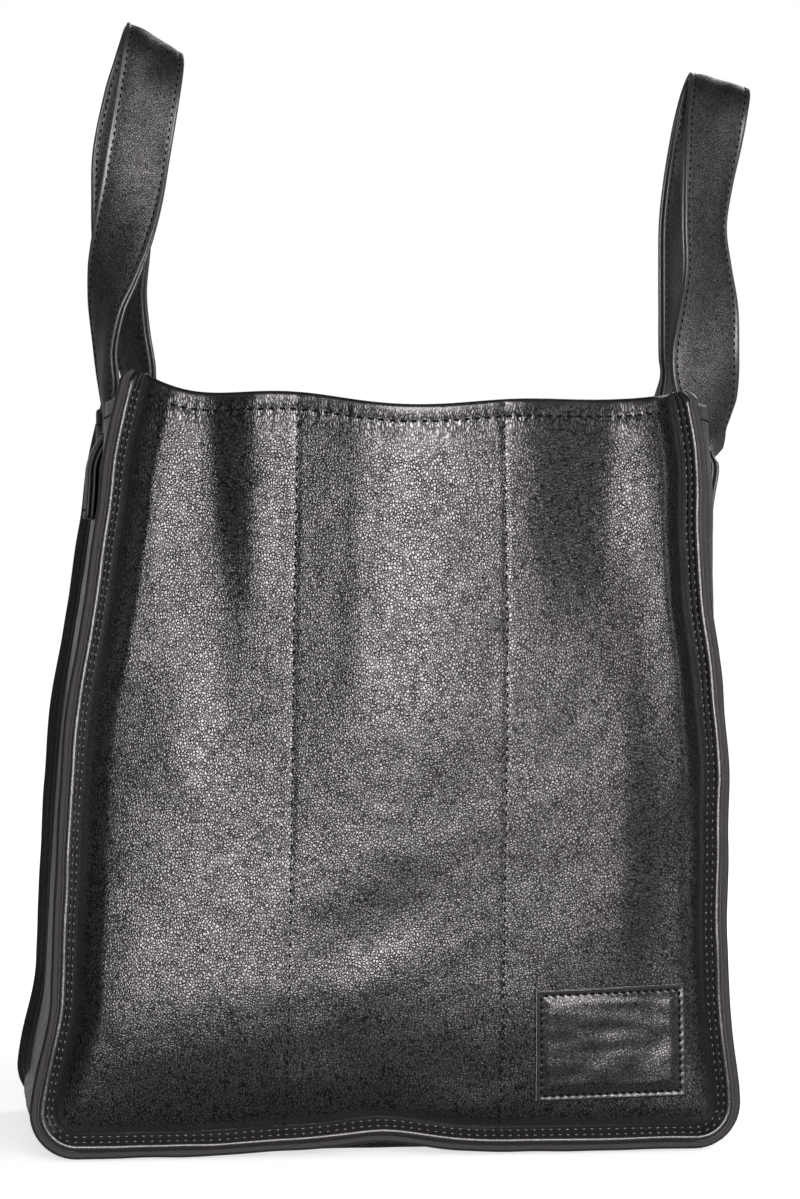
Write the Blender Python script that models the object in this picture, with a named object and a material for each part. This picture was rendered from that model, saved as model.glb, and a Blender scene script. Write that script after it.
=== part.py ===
"""Leather bottle bag: two panels and a U-shaped gusset joined by raised turned seams, with
six divided cells and a pair of two-layer strap handles sewn over the side rims.

Lengths are in millimetres and angles in degrees. X runs to the right, Y to the back and Z up.
The origin is the middle of the base, on the surface that the bag stands on."""

import math

import bmesh
import bpy
import numpy as np

MM = 0.001

# Leather and sewing
LEATHER = 1.4
SEAM_GAP = 0.3
FIT_GAP = 0.3
SEWN_GAP = 0.6
HEM_DEPTH = 9.0
HEM_STEP = 0.5

# Bag body
RIM_HEIGHT = 262.0
SEAM_HALF_WIDTH = 116.0
SEAM_HALF_DEPTH = 70.0
SEAM_RISE = 6.6
SEAM_CORNER_RADIUS = 10.0
CORNER_FLARE = {-1: 5.0, 1: 3.0}
FLARE_HEIGHT = 45.0
TOP_WIDTH_INSET = {-1: 26.0, 1: 9.0}
WIDTH_LEAN_POWER = 2.2
TOP_DEPTH_INSET = 13.0
RIM_CORNER_LIFT = {-1: 9.0, 1: 3.0}
RIM_LIFT_POWER = 8
RIM_DIP = 3.0

# Fullness of the leather between its seams
PANEL_CROWN = 5.0
PANEL_TOP_CROWN = 13.0
PANEL_EASE_HEIGHT = 80.0
PANEL_FOOT_RISE = 6.0
GUSSET_CROWN = {-1: 2.5, 1: 4.0}
GUSSET_BELLY = {-1: 0.0, 1: 10.0}
GUSSET_LIP = {-1: 8.0, 1: 4.0}
BELLY_HEIGHT = 190.0
LIP_DEPTH = 62.0
HANDLE_PINCH = 10.0
PINCH_DEPTH = 24.0
BASE_FLAT_SHARE = 0.78
PINCH_FLAT_SHARE = 0.25
PINCH_END_SHARE = 0.55

# Raised seam flange
FLANGE_REACH = 7.0
FLANGE_ANGLE = 55.0
TURNED_EDGE = 2 * LEATHER
TIP_FLAT_SHARE = 0.4

# Inside
BOARD_THICKNESS = 3.0
BOARD_CORNER_RADIUS = 12.0
BOARD_END_CLEARANCE = 2.5
DIVIDER_THICKNESS = 1.2
DIVIDER_TAB = 12.0
DIVIDER_X_BASE = {-1: -36.0, 1: 39.0}
DIVIDER_X_RIM = {-1: -32.0, 1: 39.0}
DIVIDER_SEWN_DROP = 13.0
DIVIDER_HANDLE_CLEARANCE = 4.0
SLOT_HEIGHT = 108.0
SLOT_OVERRUN = 5.0
FOOT_STEP = (0.8, 0.97)
LONG_FOOT_STEP = (0.87, 0.97)
LONG_TAB_RISE = 4.0

# Label patch on the front panel
PATCH_WIDTH = 53.0
PATCH_HEIGHT = 39.0
PATCH_SIDE_DISTANCE = 38.7
PATCH_CENTRE_HEIGHT = 38.3
PATCH_TURN = 1.3

# Strap handles
STRAP_WIDTH = 23.0
STRAP_LAYER = 1.4
STRAP_EDGE = 0.45
STRAP_STEP = 6.0
LOOP_RISE = 9.0
SEWN_OFFSET = 2.0
SEWN_STATIONS = 8
OUTER_END_DROP = {-1: 41.0, 1: 40.0}
OUTER_END_TOP = {-1: 10.0, 1: 19.0}
INNER_END_DROP = 46.0
INNER_END_TOP = 24.0

# Each handle's free route from the outer sewn end over the top to the inner one:
# distance outwards from the rim, depth, height over the rim, and turn of the strap's width
HANDLE_ROUTE = {
    -1: (
        (6.0, -6.0, 6.0, -80), (7.4, -8.0, 20.0, -77), (7.0, -11.0, 35.0, -62),
        (4.6, -13.0, 47.0, -42), (1.4, -14.0, 60.0, -25), (-1.6, -14.0, 74.0, -12),
        (-4.6, -13.0, 92.0, 0), (-7.6, -11.5, 110.0, 0), (-9.4, -8.8, 121.5, 0),
        (-10.2, -5.0, 128.4, 0), (-10.4, 0.0, 131.3, 0), (-9.6, 5.0, 128.6, 0),
        (-7.6, 8.8, 122.0, 0), (-4.6, 11.3, 112.0, 0), (-0.6, 12.5, 92.0, -6),
        (0.0, 13.0, 74.0, -16), (0.4, 12.5, 58.0, -30),
        (0.0, 11.5, 42.0, -48), (-2.6, 9.5, 27.0, -60), (-5.8, 7.5, 11.0, -66),
        (-7.6, 5.5, 0.0, -78), (-4.0, 3.5, -9.0, -86),
    ),
    1: (
        (14.6, -3.0, -10.0, 50), (13.6, -5.5, 2.0, 10), (12.6, -7.5, 18.0, 4),
        (11.6, -10.0, 35.0, 14),
        (11.0, -11.5, 50.0, 32), (9.8, -12.0, 66.0, 38), (11.0, -12.0, 82.0, 30),
        (13.4, -11.0, 98.0, 16), (15.4, -8.6, 109.5, 4), (17.0, -5.0, 116.4, 0),
        (17.6, 0.0, 119.3, 0), (16.8, 5.0, 116.6, 4), (14.6, 8.6, 109.5, 14),
        (11.0, 10.8, 98.0, 28), (5.4, 12.0, 84.0, 52),
        (1.0, 12.5, 68.0, 68), (-1.0, 12.0, 50.0, 78), (-2.6, 10.5, 32.0, 84),
        (-4.2, 8.0, 14.0, 88), (-5.6, 5.5, 0.0, 90), (-3.0, 3.5, -9.0, 90),
    ),
}

# Finish of each material: linear colour, roughness, metallic
FINISHES = {
    "black_leather": ((0.018, 0.018, 0.020), 0.42, 0.0),
    "strap_leather": ((0.020, 0.020, 0.022), 0.45, 0.0),
    "divider_suede": ((0.030, 0.029, 0.030), 0.90, 0.0),
    "base_fibreboard": ((0.120, 0.090, 0.060), 0.85, 0.0),
}

# Mesh resolution
ARC_STEPS = 5
COLLAR_DROPS = (14.0, 19.0, 25.0, 34.0, 46.0)
WALL_ROWS = 7
WALL_SPREAD = 0.9
PANEL_COLUMNS = 13
DIVIDER_ROWS = 11
CUT_SPARE = 0.3
PATCH_COLUMNS = 8
PATCH_ROWS = 6
GUSSET_SHARES = (0.25, 0.4, 0.55, 0.78, 0.9)
SMOOTH_ANGLE = 40.0


def clear_scene():
    for item in list(bpy.data.objects):
        bpy.data.objects.remove(item, do_unlink=True)


def material(name):
    colour, roughness, metallic = FINISHES[name]
    made = bpy.data.materials.new(name)
    made.use_nodes = True
    shader = made.node_tree.nodes["Principled BSDF"]
    shader.inputs["Base Color"].default_value = (*colour, 1.0)
    shader.inputs["Roughness"].default_value = roughness
    shader.inputs["Metallic"].default_value = metallic
    made.diffuse_color = (*colour, 1.0)
    return made


def smooth_step(value):
    value = min(max(value, 0.0), 1.0)
    return value * value * (3.0 - 2.0 * value)


def smooth_between(value, start, end):
    return smooth_step((value - start) / (end - start))


def blend(first, second, share):
    return first + (second - first) * share


class Shell:
    """A closed solid made of triangles whose corners are welded wherever they coincide."""

    def __init__(self, name):
        self.name = name
        self.mesh = bmesh.new()
        self.corners = {}

    def corner(self, point):
        key = tuple(round(float(value), 4) for value in point)
        if key not in self.corners:
            self.corners[key] = self.mesh.verts.new([value * MM for value in key])
        return self.corners[key]

    def triangle(self, *points):
        corners = [self.corner(point) for point in points]
        if len(set(corners)) == 3:
            self.mesh.faces.new(corners)

    def quad(self, a, b, c, d):
        self.triangle(a, b, c)
        self.triangle(a, c, d)

    def strip(self, first, second):
        for i in range(len(first) - 1):
            self.quad(first[i], first[i + 1], second[i + 1], second[i])

    def grid(self, rows):
        for lower, upper in zip(rows, rows[1:]):
            self.strip(lower, upper)

    def slab(self, front, back):
        """Fills between two matching grids, closed round all four borders."""
        self.grid(front)
        self.grid(back)
        self.strip(front[0], back[0])
        self.strip(front[-1], back[-1])
        self.strip([row[0] for row in front], [row[0] for row in back])
        self.strip([row[-1] for row in front], [row[-1] for row in back])

    def finish(self, look, origin=(0.0, 0.0, 0.0)):
        """Turns the shell into a named object whose origin is the given point in millimetres."""
        bmesh.ops.recalc_face_normals(self.mesh, faces=self.mesh.faces)
        if self.mesh.calc_volume(signed=True) < 0.0:
            bmesh.ops.reverse_faces(self.mesh, faces=self.mesh.faces)
        place = [value * MM for value in origin]
        bmesh.ops.translate(self.mesh, verts=self.mesh.verts, vec=[-value for value in place])
        data = bpy.data.meshes.new(self.name)
        self.mesh.to_mesh(data)
        self.mesh.free()
        data.shade_smooth()
        data.set_sharp_from_angle(angle=math.radians(SMOOTH_ANGLE))
        data.materials.append(look)
        made = bpy.data.objects.new(self.name, data)
        made.location = place
        bpy.context.scene.collection.objects.link(made)
        return made


# Outline of the bag

def rim_share(z):
    return max(z, 0.0) / RIM_HEIGHT


def half_width(side, z):
    """Distance of the seam from the middle plane; both sides lean in towards the rim."""
    flare = CORNER_FLARE[side] * smooth_step((z - SEAM_CORNER_RADIUS) / FLARE_HEIGHT)
    return SEAM_HALF_WIDTH - flare - TOP_WIDTH_INSET[side] * rim_share(z) ** WIDTH_LEAN_POWER


def half_depth(z):
    return SEAM_HALF_DEPTH - TOP_DEPTH_INSET * rim_share(z) ** 2


def panel_rim(share):
    """Height of a panel's top edge; share runs from -1 at the left seam to 1 at the right."""
    lift = RIM_CORNER_LIFT[-1 if share < 0 else 1] * abs(share) ** RIM_LIFT_POWER
    return RIM_HEIGHT + lift - RIM_DIP * (1.0 - share * share) ** 3


def gusset_rim(side, share):
    return RIM_HEIGHT + RIM_CORNER_LIFT[side] * abs(share) ** RIM_LIFT_POWER


def panel_fullness(share, z):
    """How far a panel's inner face stands out from the straight line between its seams."""
    crown = PANEL_CROWN + PANEL_TOP_CROWN * rim_share(z) ** 2
    return crown * (1.0 - share * share) * smooth_step((z - SEAM_RISE) / PANEL_EASE_HEIGHT)


def panel_reach(x, z):
    """Distance of a panel's inner face from the middle plane at a point of the panel."""
    left, right = -half_width(-1, z), half_width(1, z)
    share = (2.0 * x - left - right) / (right - left)
    return half_depth(z) + panel_fullness(share, z)


def gusset_fullness(side, share, z):
    """How far the gusset's inner face stands out past its seams, less the pinch at a handle."""
    crown = GUSSET_CROWN[side] + GUSSET_BELLY[side] * smooth_step(z / BELLY_HEIGHT)
    crown += GUSSET_LIP[side] * max(0.0, 1.0 - (RIM_HEIGHT - z) / LIP_DEPTH) ** 2
    pinch = HANDLE_PINCH * smooth_between(z, RIM_HEIGHT - PINCH_DEPTH, RIM_HEIGHT)
    fade = smooth_between(abs(share), PINCH_FLAT_SHARE, PINCH_END_SHARE)
    return crown * (1.0 - abs(share) ** 3) - pinch * (1.0 - fade)


def gusset_reach(side, z, y=0.0):
    """Distance of the gusset's inner face from the middle plane on the left or right side."""
    return half_width(side, z) + gusset_fullness(side, y / half_depth(z), z)


def base_fullness(share):
    """The base gusset hangs flat below its seams and turns up to them at front and back."""
    rise = max(0.0, (abs(share) - BASE_FLAT_SHARE) / (1.0 - BASE_FLAT_SHARE))
    return (SEAM_RISE - LEATHER) * (1.0 - rise * rise)


# The seam that joins each panel to the gusset, down one side, along the base and up the other

WALL_FOOT = SEAM_RISE + SEAM_CORNER_RADIUS
PANEL_FOOT = WALL_FOOT + PANEL_FOOT_RISE
DROPS = (0.0, HEM_DEPTH, HEM_DEPTH + HEM_STEP) + COLLAR_DROPS
SIDE_ROWS = len(DROPS) + WALL_ROWS


def wall_height(rim, foot, row):
    """Height of a wall row: the hem and collar rows keep their drop from the rim, and the
    rest share what is left down to the foot."""
    if row < len(DROPS):
        return rim - DROPS[row]
    share = (row + 1 - len(DROPS)) / WALL_ROWS
    return blend(rim - DROPS[-1], foot, share ** WALL_SPREAD)


def seam_side(side):
    """Seam points of one side from the rim down to the end of its corner arc."""
    rim = gusset_rim(side, 1.0)
    points = []
    for row in range(SIDE_ROWS):
        z = wall_height(rim, WALL_FOOT, row)
        points.append(np.array([side * half_width(side, z), -half_depth(z), z]))
    centre_x = half_width(side, WALL_FOOT) - SEAM_CORNER_RADIUS
    for step in range(1, ARC_STEPS + 1):
        angle = 0.5 * math.pi * step / ARC_STEPS
        x = centre_x + SEAM_CORNER_RADIUS * math.cos(angle)
        z = WALL_FOOT - SEAM_CORNER_RADIUS * math.sin(angle)
        points.append(np.array([side * x, -half_depth(z), z]))
    return points


def panel_shares():
    """Column places across a panel, a little closer together near its seams."""
    shares = []
    for column in range(PANEL_COLUMNS + 1):
        even = 2.0 * column / PANEL_COLUMNS - 1.0
        shares.append(0.5 * even + 0.5 * math.sin(0.5 * math.pi * even))
    return shares


def seam_line():
    """All points of the front seam with the outward direction at each, left rim to right rim."""
    left, right = seam_side(-1), seam_side(1)
    base = []
    for share in panel_shares()[1:-1]:
        base.append(blend(left[-1], right[-1], 0.5 * (share + 1.0)))
    points = left + base + right[::-1]
    outward = []
    for i in range(len(points)):
        ahead = points[min(i + 1, len(points) - 1)] - points[max(i - 1, 0)]
        across = np.array([ahead[2], 0.0, -ahead[0]])
        outward.append(across / np.linalg.norm(across))
    return points, outward, len(left), len(base)


FLANGE_COS = math.cos(math.radians(FLANGE_ANGLE))
FLANGE_SIN = math.sin(math.radians(FLANGE_ANGLE))


def flange_point(point, outward, along, beside):
    """A point of the flange's section: along its reach, and beside its mating plane, where
    positive is the panel's ply and negative the gusset's."""
    u = along * FLANGE_COS - beside * FLANGE_SIN
    v = along * FLANGE_SIN + beside * FLANGE_COS
    return point + u * outward + v * np.array([0.0, -1.0, 0.0])


def flange_pairs(point, outward, ply, hem):
    """Matching outer and inner points from the folded tip to the root of one ply. The outer
    root is where the ply meets the outside of the leather, and the inner root where the
    mating plane meets the inside, which a hem thickens."""
    gap = 0.5 * SEAM_GAP
    fold = 0.5 * TURNED_EDGE
    outer = gap + TURNED_EDGE
    if ply > 0:
        outer_root = (LEATHER - outer * FLANGE_COS) / FLANGE_SIN
        inner_root = (-hem - gap * FLANGE_COS) / FLANGE_SIN
    else:
        outer_root = (LEATHER - outer * FLANGE_SIN) / FLANGE_COS
        inner_root = (-hem - gap * FLANGE_SIN) / FLANGE_COS
    tip = FLANGE_REACH
    shoulder = FLANGE_REACH - fold
    middle = gap + fold
    lean = math.sin(math.radians(45.0)) * fold
    flat = TIP_FLAT_SHARE * fold
    pairs = (
        ((tip, middle + flat), (tip, middle - flat)),
        ((shoulder + lean, middle + lean), (shoulder + lean, middle - lean)),
        ((shoulder, outer), (shoulder, gap)),
        ((outer_root, outer), (inner_root, gap)),
    )
    return [
        tuple(flange_point(point, outward, along, ply * beside) for along, beside in pair)
        for pair in pairs
    ]


# Panels

def hem_inside(row):
    """The turned hem thickens the inside of the two highest rows."""
    return LEATHER if row <= 1 else 0.0


def flange_valley():
    """How far inwards of the seam the panel's outer face meets its flange."""
    outer = 0.5 * SEAM_GAP + TURNED_EDGE
    along = (LEATHER - outer * FLANGE_COS) / FLANGE_SIN
    return outer * FLANGE_SIN - along * FLANGE_COS


def panel_field(share, row, left, right):
    """Outer and inner points of a panel between its seams."""
    if row < SIDE_ROWS:
        z = wall_height(panel_rim(share), PANEL_FOOT, row)
    else:
        low = (row + 1 - SIDE_ROWS) / ARC_STEPS
        z = blend(PANEL_FOOT, SEAM_RISE + flange_valley(), low)
    if row < SIDE_ROWS:
        x = blend(-half_width(-1, z), half_width(1, z), 0.5 * (share + 1.0))
    else:
        x = blend(left[0], right[0], 0.5 * (share + 1.0))
    y = -half_depth(z) - panel_fullness(share, z)
    return np.array([x, y - LEATHER, z]), np.array([x, y + hem_inside(row), z])


def panel_rows():
    """Rows of matching outer and inner points from the rim to the base seam, then the rows of
    the flange under that seam, which run between the two lowest corners."""
    points, outward, side_count, base_count = seam_line()
    base = [
        flange_pairs(points[i], outward[i], 1, 0.0)
        for i in range(side_count, side_count + base_count)
    ]
    rows = []
    for row in range(side_count):
        far = len(points) - 1 - row
        hem = hem_inside(row)
        left = flange_pairs(points[row], outward[row], 1, hem)
        right = flange_pairs(points[far], outward[far], 1, hem)
        ends = points[row], points[far]
        field = [panel_field(share, row, *ends) for share in panel_shares()[1:-1]]
        if row == side_count - 1:
            field = [column[-1] for column in base]
        rows.append(left + field + right[::-1])
    flange = []
    for level in range(len(left) - 1, -1, -1):
        flange.append([left[level]] + [column[level] for column in base] + [right[level]])
    return rows, flange


def panel(name, look, facing):
    """One panel with its turned edge all round the U seam; facing is 1 for front, -1 for back."""
    mirror = np.array([1.0, facing, 1.0])
    grids = []
    for rows in panel_rows():
        for layer in (0, 1):
            grids.append([[mirror * pair[layer] for pair in row] for row in rows])
    outer, inner, outer_flange, inner_flange = grids
    shell = Shell(name)
    for grid in grids:
        shell.grid(grid)
    shell.strip(outer[0], inner[0])
    shell.strip([row[0] for row in outer], [row[0] for row in inner])
    shell.strip([row[-1] for row in outer], [row[-1] for row in inner])
    shell.strip(outer_flange[-1], inner_flange[-1])
    return shell.finish(look)


# Gusset

def gusset_field(side, share, point, outward, row, turn):
    """Outer and inner points of the gusset between its seams. Turn runs from 0 on a side wall
    to 1 on the base."""
    if turn == 0.0:
        z = wall_height(gusset_rim(side, share), WALL_FOOT, row)
        place = np.array([side * half_width(side, z), 0.0, z])
        full = gusset_fullness(side, share, z)
        hem = hem_inside(row)
        outward = np.array([side, 0.0, 0.0])
    else:
        place = np.array([point[0], 0.0, point[2]])
        wall = gusset_fullness(side, share, WALL_FOOT)
        full = blend(wall, base_fullness(share), turn)
        hem = 0.0
    place[1] = share * half_depth(place[2])
    return place + (full + LEATHER) * outward, place + (full - hem) * outward


def gusset(look):
    """One strip down the left side, under the base and up the right, turned out at both seams."""
    points, outward, side_count, base_count = seam_line()
    last = len(points) - 1
    shares = [-share for share in GUSSET_SHARES[::-1]] + [0.0] + list(GUSSET_SHARES)
    outer_rows, inner_rows = [], []
    for i, (point, out) in enumerate(zip(points, outward)):
        side = -1 if i < len(points) / 2 else 1
        row = min(i, last - i)
        turn = min(max(row + 1 - SIDE_ROWS, 0) / ARC_STEPS, 1.0)
        hem = hem_inside(row)
        front = flange_pairs(point, out, -1, hem)
        mirror = np.array([1.0, -1.0, 1.0])
        back = [(pair[0] * mirror, pair[1] * mirror) for pair in front][::-1]
        field = [gusset_field(side, share, point, out, row, turn) for share in shares]
        pairs = front + field + back
        outer_rows.append([pair[0] for pair in pairs])
        inner_rows.append([pair[1] for pair in pairs])
    shell = Shell("gusset")
    shell.slab(outer_rows, inner_rows)
    return shell.finish(look)


# Base board and dividers

def rounded_rectangle(half_x, half_y, radius, steps=5):
    outline = []
    for quarter in range(4):
        sign_x = (1, -1, -1, 1)[quarter]
        sign_y = (1, 1, -1, -1)[quarter]
        for step in range(steps + 1):
            angle = 0.5 * math.pi * (quarter + step / steps)
            outline.append((
                sign_x * (half_x - radius) + radius * math.cos(angle),
                sign_y * (half_y - radius) + radius * math.sin(angle),
            ))
    return outline


BOARD_BASE = LEATHER + FIT_GAP
BOARD_TOP = BOARD_BASE + BOARD_THICKNESS
BOARD_HALF_LENGTH = half_width(1, WALL_FOOT) - SEAM_CORNER_RADIUS - BOARD_END_CLEARANCE
BOARD_HALF_DEPTH = BASE_FLAT_SHARE * SEAM_HALF_DEPTH


def base_board(look):
    """The stiffener that keeps the base flat."""
    outline = rounded_rectangle(BOARD_HALF_LENGTH, BOARD_HALF_DEPTH, BOARD_CORNER_RADIUS)
    shell = Shell("base_board")
    count = len(outline)
    for i in range(count):
        (x0, y0), (x1, y1) = outline[i], outline[(i + 1) % count]
        edge = [(x0, y0, BOARD_BASE), (x1, y1, BOARD_BASE), (x1, y1, BOARD_TOP), (x0, y0, BOARD_TOP)]
        shell.quad(*edge)
        shell.triangle((0, 0, BOARD_TOP), edge[3], edge[2])
        shell.triangle((0, 0, BOARD_BASE), edge[1], edge[0])
    return shell.finish(look)


DIVIDER_FOOT = BOARD_TOP + FIT_GAP
DIVIDER_HEIGHT = RIM_HEIGHT - INNER_END_DROP - DIVIDER_HANDLE_CLEARANCE
DIVIDER_SEWN_HEIGHT = RIM_HEIGHT - DIVIDER_SEWN_DROP
WEB_SHARES = (0.97, 0.8, 0.6, 0.4, 0.2)
LONG_WEB_SHARES = (0.97, 0.87, 0.6)


def divider_x(side, z):
    return blend(DIVIDER_X_BASE[side], DIVIDER_X_RIM[side], z / RIM_HEIGHT)


def divider_top(share):
    """The top edge is scooped between the walls that a divider is sewn to."""
    return blend(DIVIDER_HEIGHT, DIVIDER_SEWN_HEIGHT, abs(share) ** 3)


def divider_foot(share):
    """The foot stands on the board and steps up over the seams at its ends."""
    return blend(DIVIDER_FOOT, WALL_FOOT, smooth_between(abs(share), *FOOT_STEP))


def cross_tab(side, end, level):
    """Pairs of a cross divider's tab, from its free edge to the fold at the web. The tab turns
    towards the bag's side and lies against the panel."""
    half = 0.5 * DIVIDER_THICKNESS
    z = blend(divider_foot(1.0), DIVIDER_SEWN_HEIGHT, level)
    middle = divider_x(side, z)
    pairs = []
    for outside_x, inside_x in ((DIVIDER_TAB, DIVIDER_TAB), (0.5 * DIVIDER_TAB,) * 2, (-half, half)):
        pair = []
        for offset, depth in ((outside_x, 0.0), (inside_x, DIVIDER_THICKNESS)):
            x = middle + side * offset
            pair.append((x, end * (panel_reach(x, z) - SEWN_GAP - depth), z))
        pairs.append(tuple(pair))
    return pairs


def cross_web(side, end, share, level):
    """One pair of a cross divider's web; share is 0 in the middle and 1 at the wall."""
    half = 0.5 * DIVIDER_THICKNESS
    z = blend(divider_foot(share), divider_top(share), level)
    x = divider_x(side, z)
    y = end * share * (panel_reach(x, z) - SEWN_GAP - DIVIDER_THICKNESS)
    return (x - side * half, y, z), (x + side * half, y, z)


def divider(name, look, run):
    """A web with a tab at each end, from a function that gives the pairs of one level."""
    levels = [run(row / DIVIDER_ROWS) for row in range(DIVIDER_ROWS + 1)]
    shell = Shell(name)
    shell.slab(*[[[pair[layer] for pair in level] for level in levels] for layer in (0, 1)])
    return shell.finish(look)


def cross_divider(side, look):
    """A web from front to back whose ends fold into tabs that are sewn to the panels."""
    def run(level):
        front = cross_tab(side, -1, level)
        front += [cross_web(side, -1, share, level) for share in WEB_SHARES]
        back = cross_tab(side, 1, level)
        back += [cross_web(side, 1, share, level) for share in WEB_SHARES]
        return front + [cross_web(side, 1, 0.0, level)] + back[::-1]

    name = "left" if side < 0 else "right"
    made = divider(f"cross_divider_{name}", look, run)
    top = SLOT_HEIGHT + 0.5 * FIT_GAP
    cut_slot(made, f"slot_cutter_{name}", side, DIVIDER_FOOT - SLOT_OVERRUN, top, True)


def cut_slot(target, name, side, low, high, across):
    """Cuts a slot, as wide as a divider and its clearance, that follows a cross divider's lean."""
    wide = 0.5 * DIVIDER_THICKNESS + FIT_GAP
    deep = SLOT_OVERRUN + DIVIDER_THICKNESS
    half_x, half_y = (deep, wide) if across else (wide, deep)
    rows = []
    for z in (low, high):
        x = divider_x(side, z)
        rows.append([
            (x - half_x, -half_y, z), (x + half_x, -half_y, z),
            (x + half_x, half_y, z), (x - half_x, half_y, z),
        ])
    shell = Shell(name)
    for i in range(4):
        j = (i + 1) % 4
        shell.quad(rows[0][i], rows[0][j], rows[1][j], rows[1][i])
    shell.quad(*rows[0][::-1])
    shell.quad(*rows[1])
    cutter = shell.finish(target.data.materials[0])
    cutter.hide_render = True
    cutter.display_type = "WIRE"
    cut = target.modifiers.new(name, "BOOLEAN")
    cut.operation = "DIFFERENCE"
    cut.solver = "EXACT"
    cut.object = cutter


def long_tab(side, level):
    """Pairs of the long divider's tab, from its free edge to the fold at the web. The tab turns
    to the back and lies against the gusset."""
    half = 0.5 * DIVIDER_THICKNESS
    z = blend(WALL_FOOT + LONG_TAB_RISE, DIVIDER_HEIGHT, level)
    pairs = []
    for outside_y, inside_y in ((DIVIDER_TAB, DIVIDER_TAB), (0.5 * DIVIDER_TAB,) * 2, (-half, half)):
        pair = []
        for y, depth in ((outside_y, 0.0), (inside_y, DIVIDER_THICKNESS)):
            pair.append((side * (gusset_reach(side, z, y) - SEWN_GAP - depth), y, z))
        pairs.append(tuple(pair))
    return pairs


def long_web(side, share, level):
    """One pair of the long divider's web; share is 0 in the middle and 1 at the wall."""
    half = 0.5 * DIVIDER_THICKNESS
    foot = blend(DIVIDER_FOOT, WALL_FOOT + LONG_TAB_RISE, smooth_between(share, *LONG_FOOT_STEP))
    z = blend(foot, DIVIDER_HEIGHT, level)
    x = side * share * (gusset_reach(side, z) - SEWN_GAP - DIVIDER_THICKNESS)
    return (x, -half, z), (x, half, z)


def long_divider(look):
    """A web from side to side whose ends fold into tabs that are sewn to the gusset."""
    def run(level):
        left = long_tab(-1, level) + [long_web(-1, share, level) for share in LONG_WEB_SHARES]
        right = long_tab(1, level) + [long_web(1, share, level) for share in LONG_WEB_SHARES]
        return left + right[::-1]

    made = divider("long_divider", look, run)
    for side, name in ((-1, "left"), (1, "right")):
        low = SLOT_HEIGHT - 0.5 * FIT_GAP
        cut_slot(made, f"long_slot_cutter_{name}", side, low, DIVIDER_HEIGHT + SLOT_OVERRUN, False)


# Label patch

def label_patch(look):
    """A bare patch that lies on the front panel and follows its fullness."""
    turn = math.radians(PATCH_TURN)
    centre_x = SEAM_HALF_WIDTH - PATCH_SIDE_DISTANCE
    outer_rows, inner_rows = [], []
    for j in range(PATCH_ROWS + 1):
        inner = []
        for i in range(PATCH_COLUMNS + 1):
            across = (i / PATCH_COLUMNS - 0.5) * PATCH_WIDTH
            up = (j / PATCH_ROWS - 0.5) * PATCH_HEIGHT
            x = centre_x + across * math.cos(turn) - up * math.sin(turn)
            z = PATCH_CENTRE_HEIGHT + across * math.sin(turn) + up * math.cos(turn)
            inner.append((x, -panel_reach(x, z) - LEATHER - SEWN_GAP, z))
        inner_rows.append(inner)
        outer_rows.append([(x, y - LEATHER, z) for x, y, z in inner])
    shell = Shell("label_patch")
    shell.slab(outer_rows, inner_rows)
    return shell.finish(look)


# Strap handles

STRAP_HALF = STRAP_LAYER + 0.5 * FIT_GAP


def smooth_route(stations, step):
    """Points along a smooth curve through the stations, about one step apart."""
    last = len(stations) - 1
    reach = [float(np.linalg.norm((b - a)[:3])) for a, b in zip(stations, stations[1:])]
    slopes = []
    for i in range(last + 1):
        low, high = max(i - 1, 0), min(i + 1, last)
        slopes.append((stations[high] - stations[low]) / sum(reach[low:high]))
    route = []
    for i in range(last):
        pieces = max(1, round(reach[i] / step))
        for piece in range(pieces):
            t = piece / pieces
            eased = smooth_step(t)
            leave = t * (1.0 - t) ** 2
            arrive = t * t * (t - 1.0)
            bend = reach[i] * (leave * slopes[i] + arrive * slopes[i + 1])
            route.append(blend(stations[i], stations[i + 1], eased) + bend)
    route.append(stations[last])
    return route


def rim_reach(side):
    """Distance of the gusset's outer face from the middle plane at the middle of its rim."""
    return gusset_reach(side, RIM_HEIGHT) + LEATHER


def sewn_station(side, outside, drop):
    """A strap station flat against the gusset, outside or inside it, below the rim."""
    z = RIM_HEIGHT - drop
    slope = 0.5 * (gusset_reach(side, z + 1.0) - gusset_reach(side, z - 1.0))
    clear = (SEWN_GAP + STRAP_HALF) * math.hypot(1.0, slope)
    if outside:
        x, y = gusset_reach(side, z) + LEATHER + clear, -SEWN_OFFSET
    else:
        x, y = gusset_reach(side, z) - clear, SEWN_OFFSET
    return np.array([side * x, y, z, side * 90.0])


def handle_stations(side):
    """The whole strap: sewn outside the gusset, over the top and sewn inside the gusset. Each
    station is a place and the turn of the strap's width."""
    outer = np.linspace(OUTER_END_DROP[side], OUTER_END_TOP[side], SEWN_STATIONS)
    inner = np.linspace(INNER_END_TOP, INNER_END_DROP, SEWN_STATIONS)
    stations = [sewn_station(side, True, drop) for drop in outer]
    for outwards, depth, rise, turn in HANDLE_ROUTE[side]:
        x = side * (rim_reach(side) + outwards)
        stations.append(np.array([x, depth, RIM_HEIGHT + rise, turn]))
    return stations + [sewn_station(side, False, drop) for drop in inner]


def strap_frames(stations):
    """Frames along a strap: its centre, the direction of its width and the direction that its
    outer face looks in, joined in one row of nine numbers."""
    route = smooth_route(stations, STRAP_STEP)
    frames = []
    for i, station in enumerate(route):
        ahead = route[min(i + 1, len(route) - 1)][:3] - route[max(i - 1, 0)][:3]
        ahead /= np.linalg.norm(ahead)
        turn = math.radians(station[3])
        across = np.array([math.cos(turn), math.sin(turn), 0.0])
        across -= np.dot(across, ahead) * ahead
        across /= np.linalg.norm(across)
        frames.append(np.concatenate([station[:3], across, np.cross(across, ahead)]))
    return frames


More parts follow.
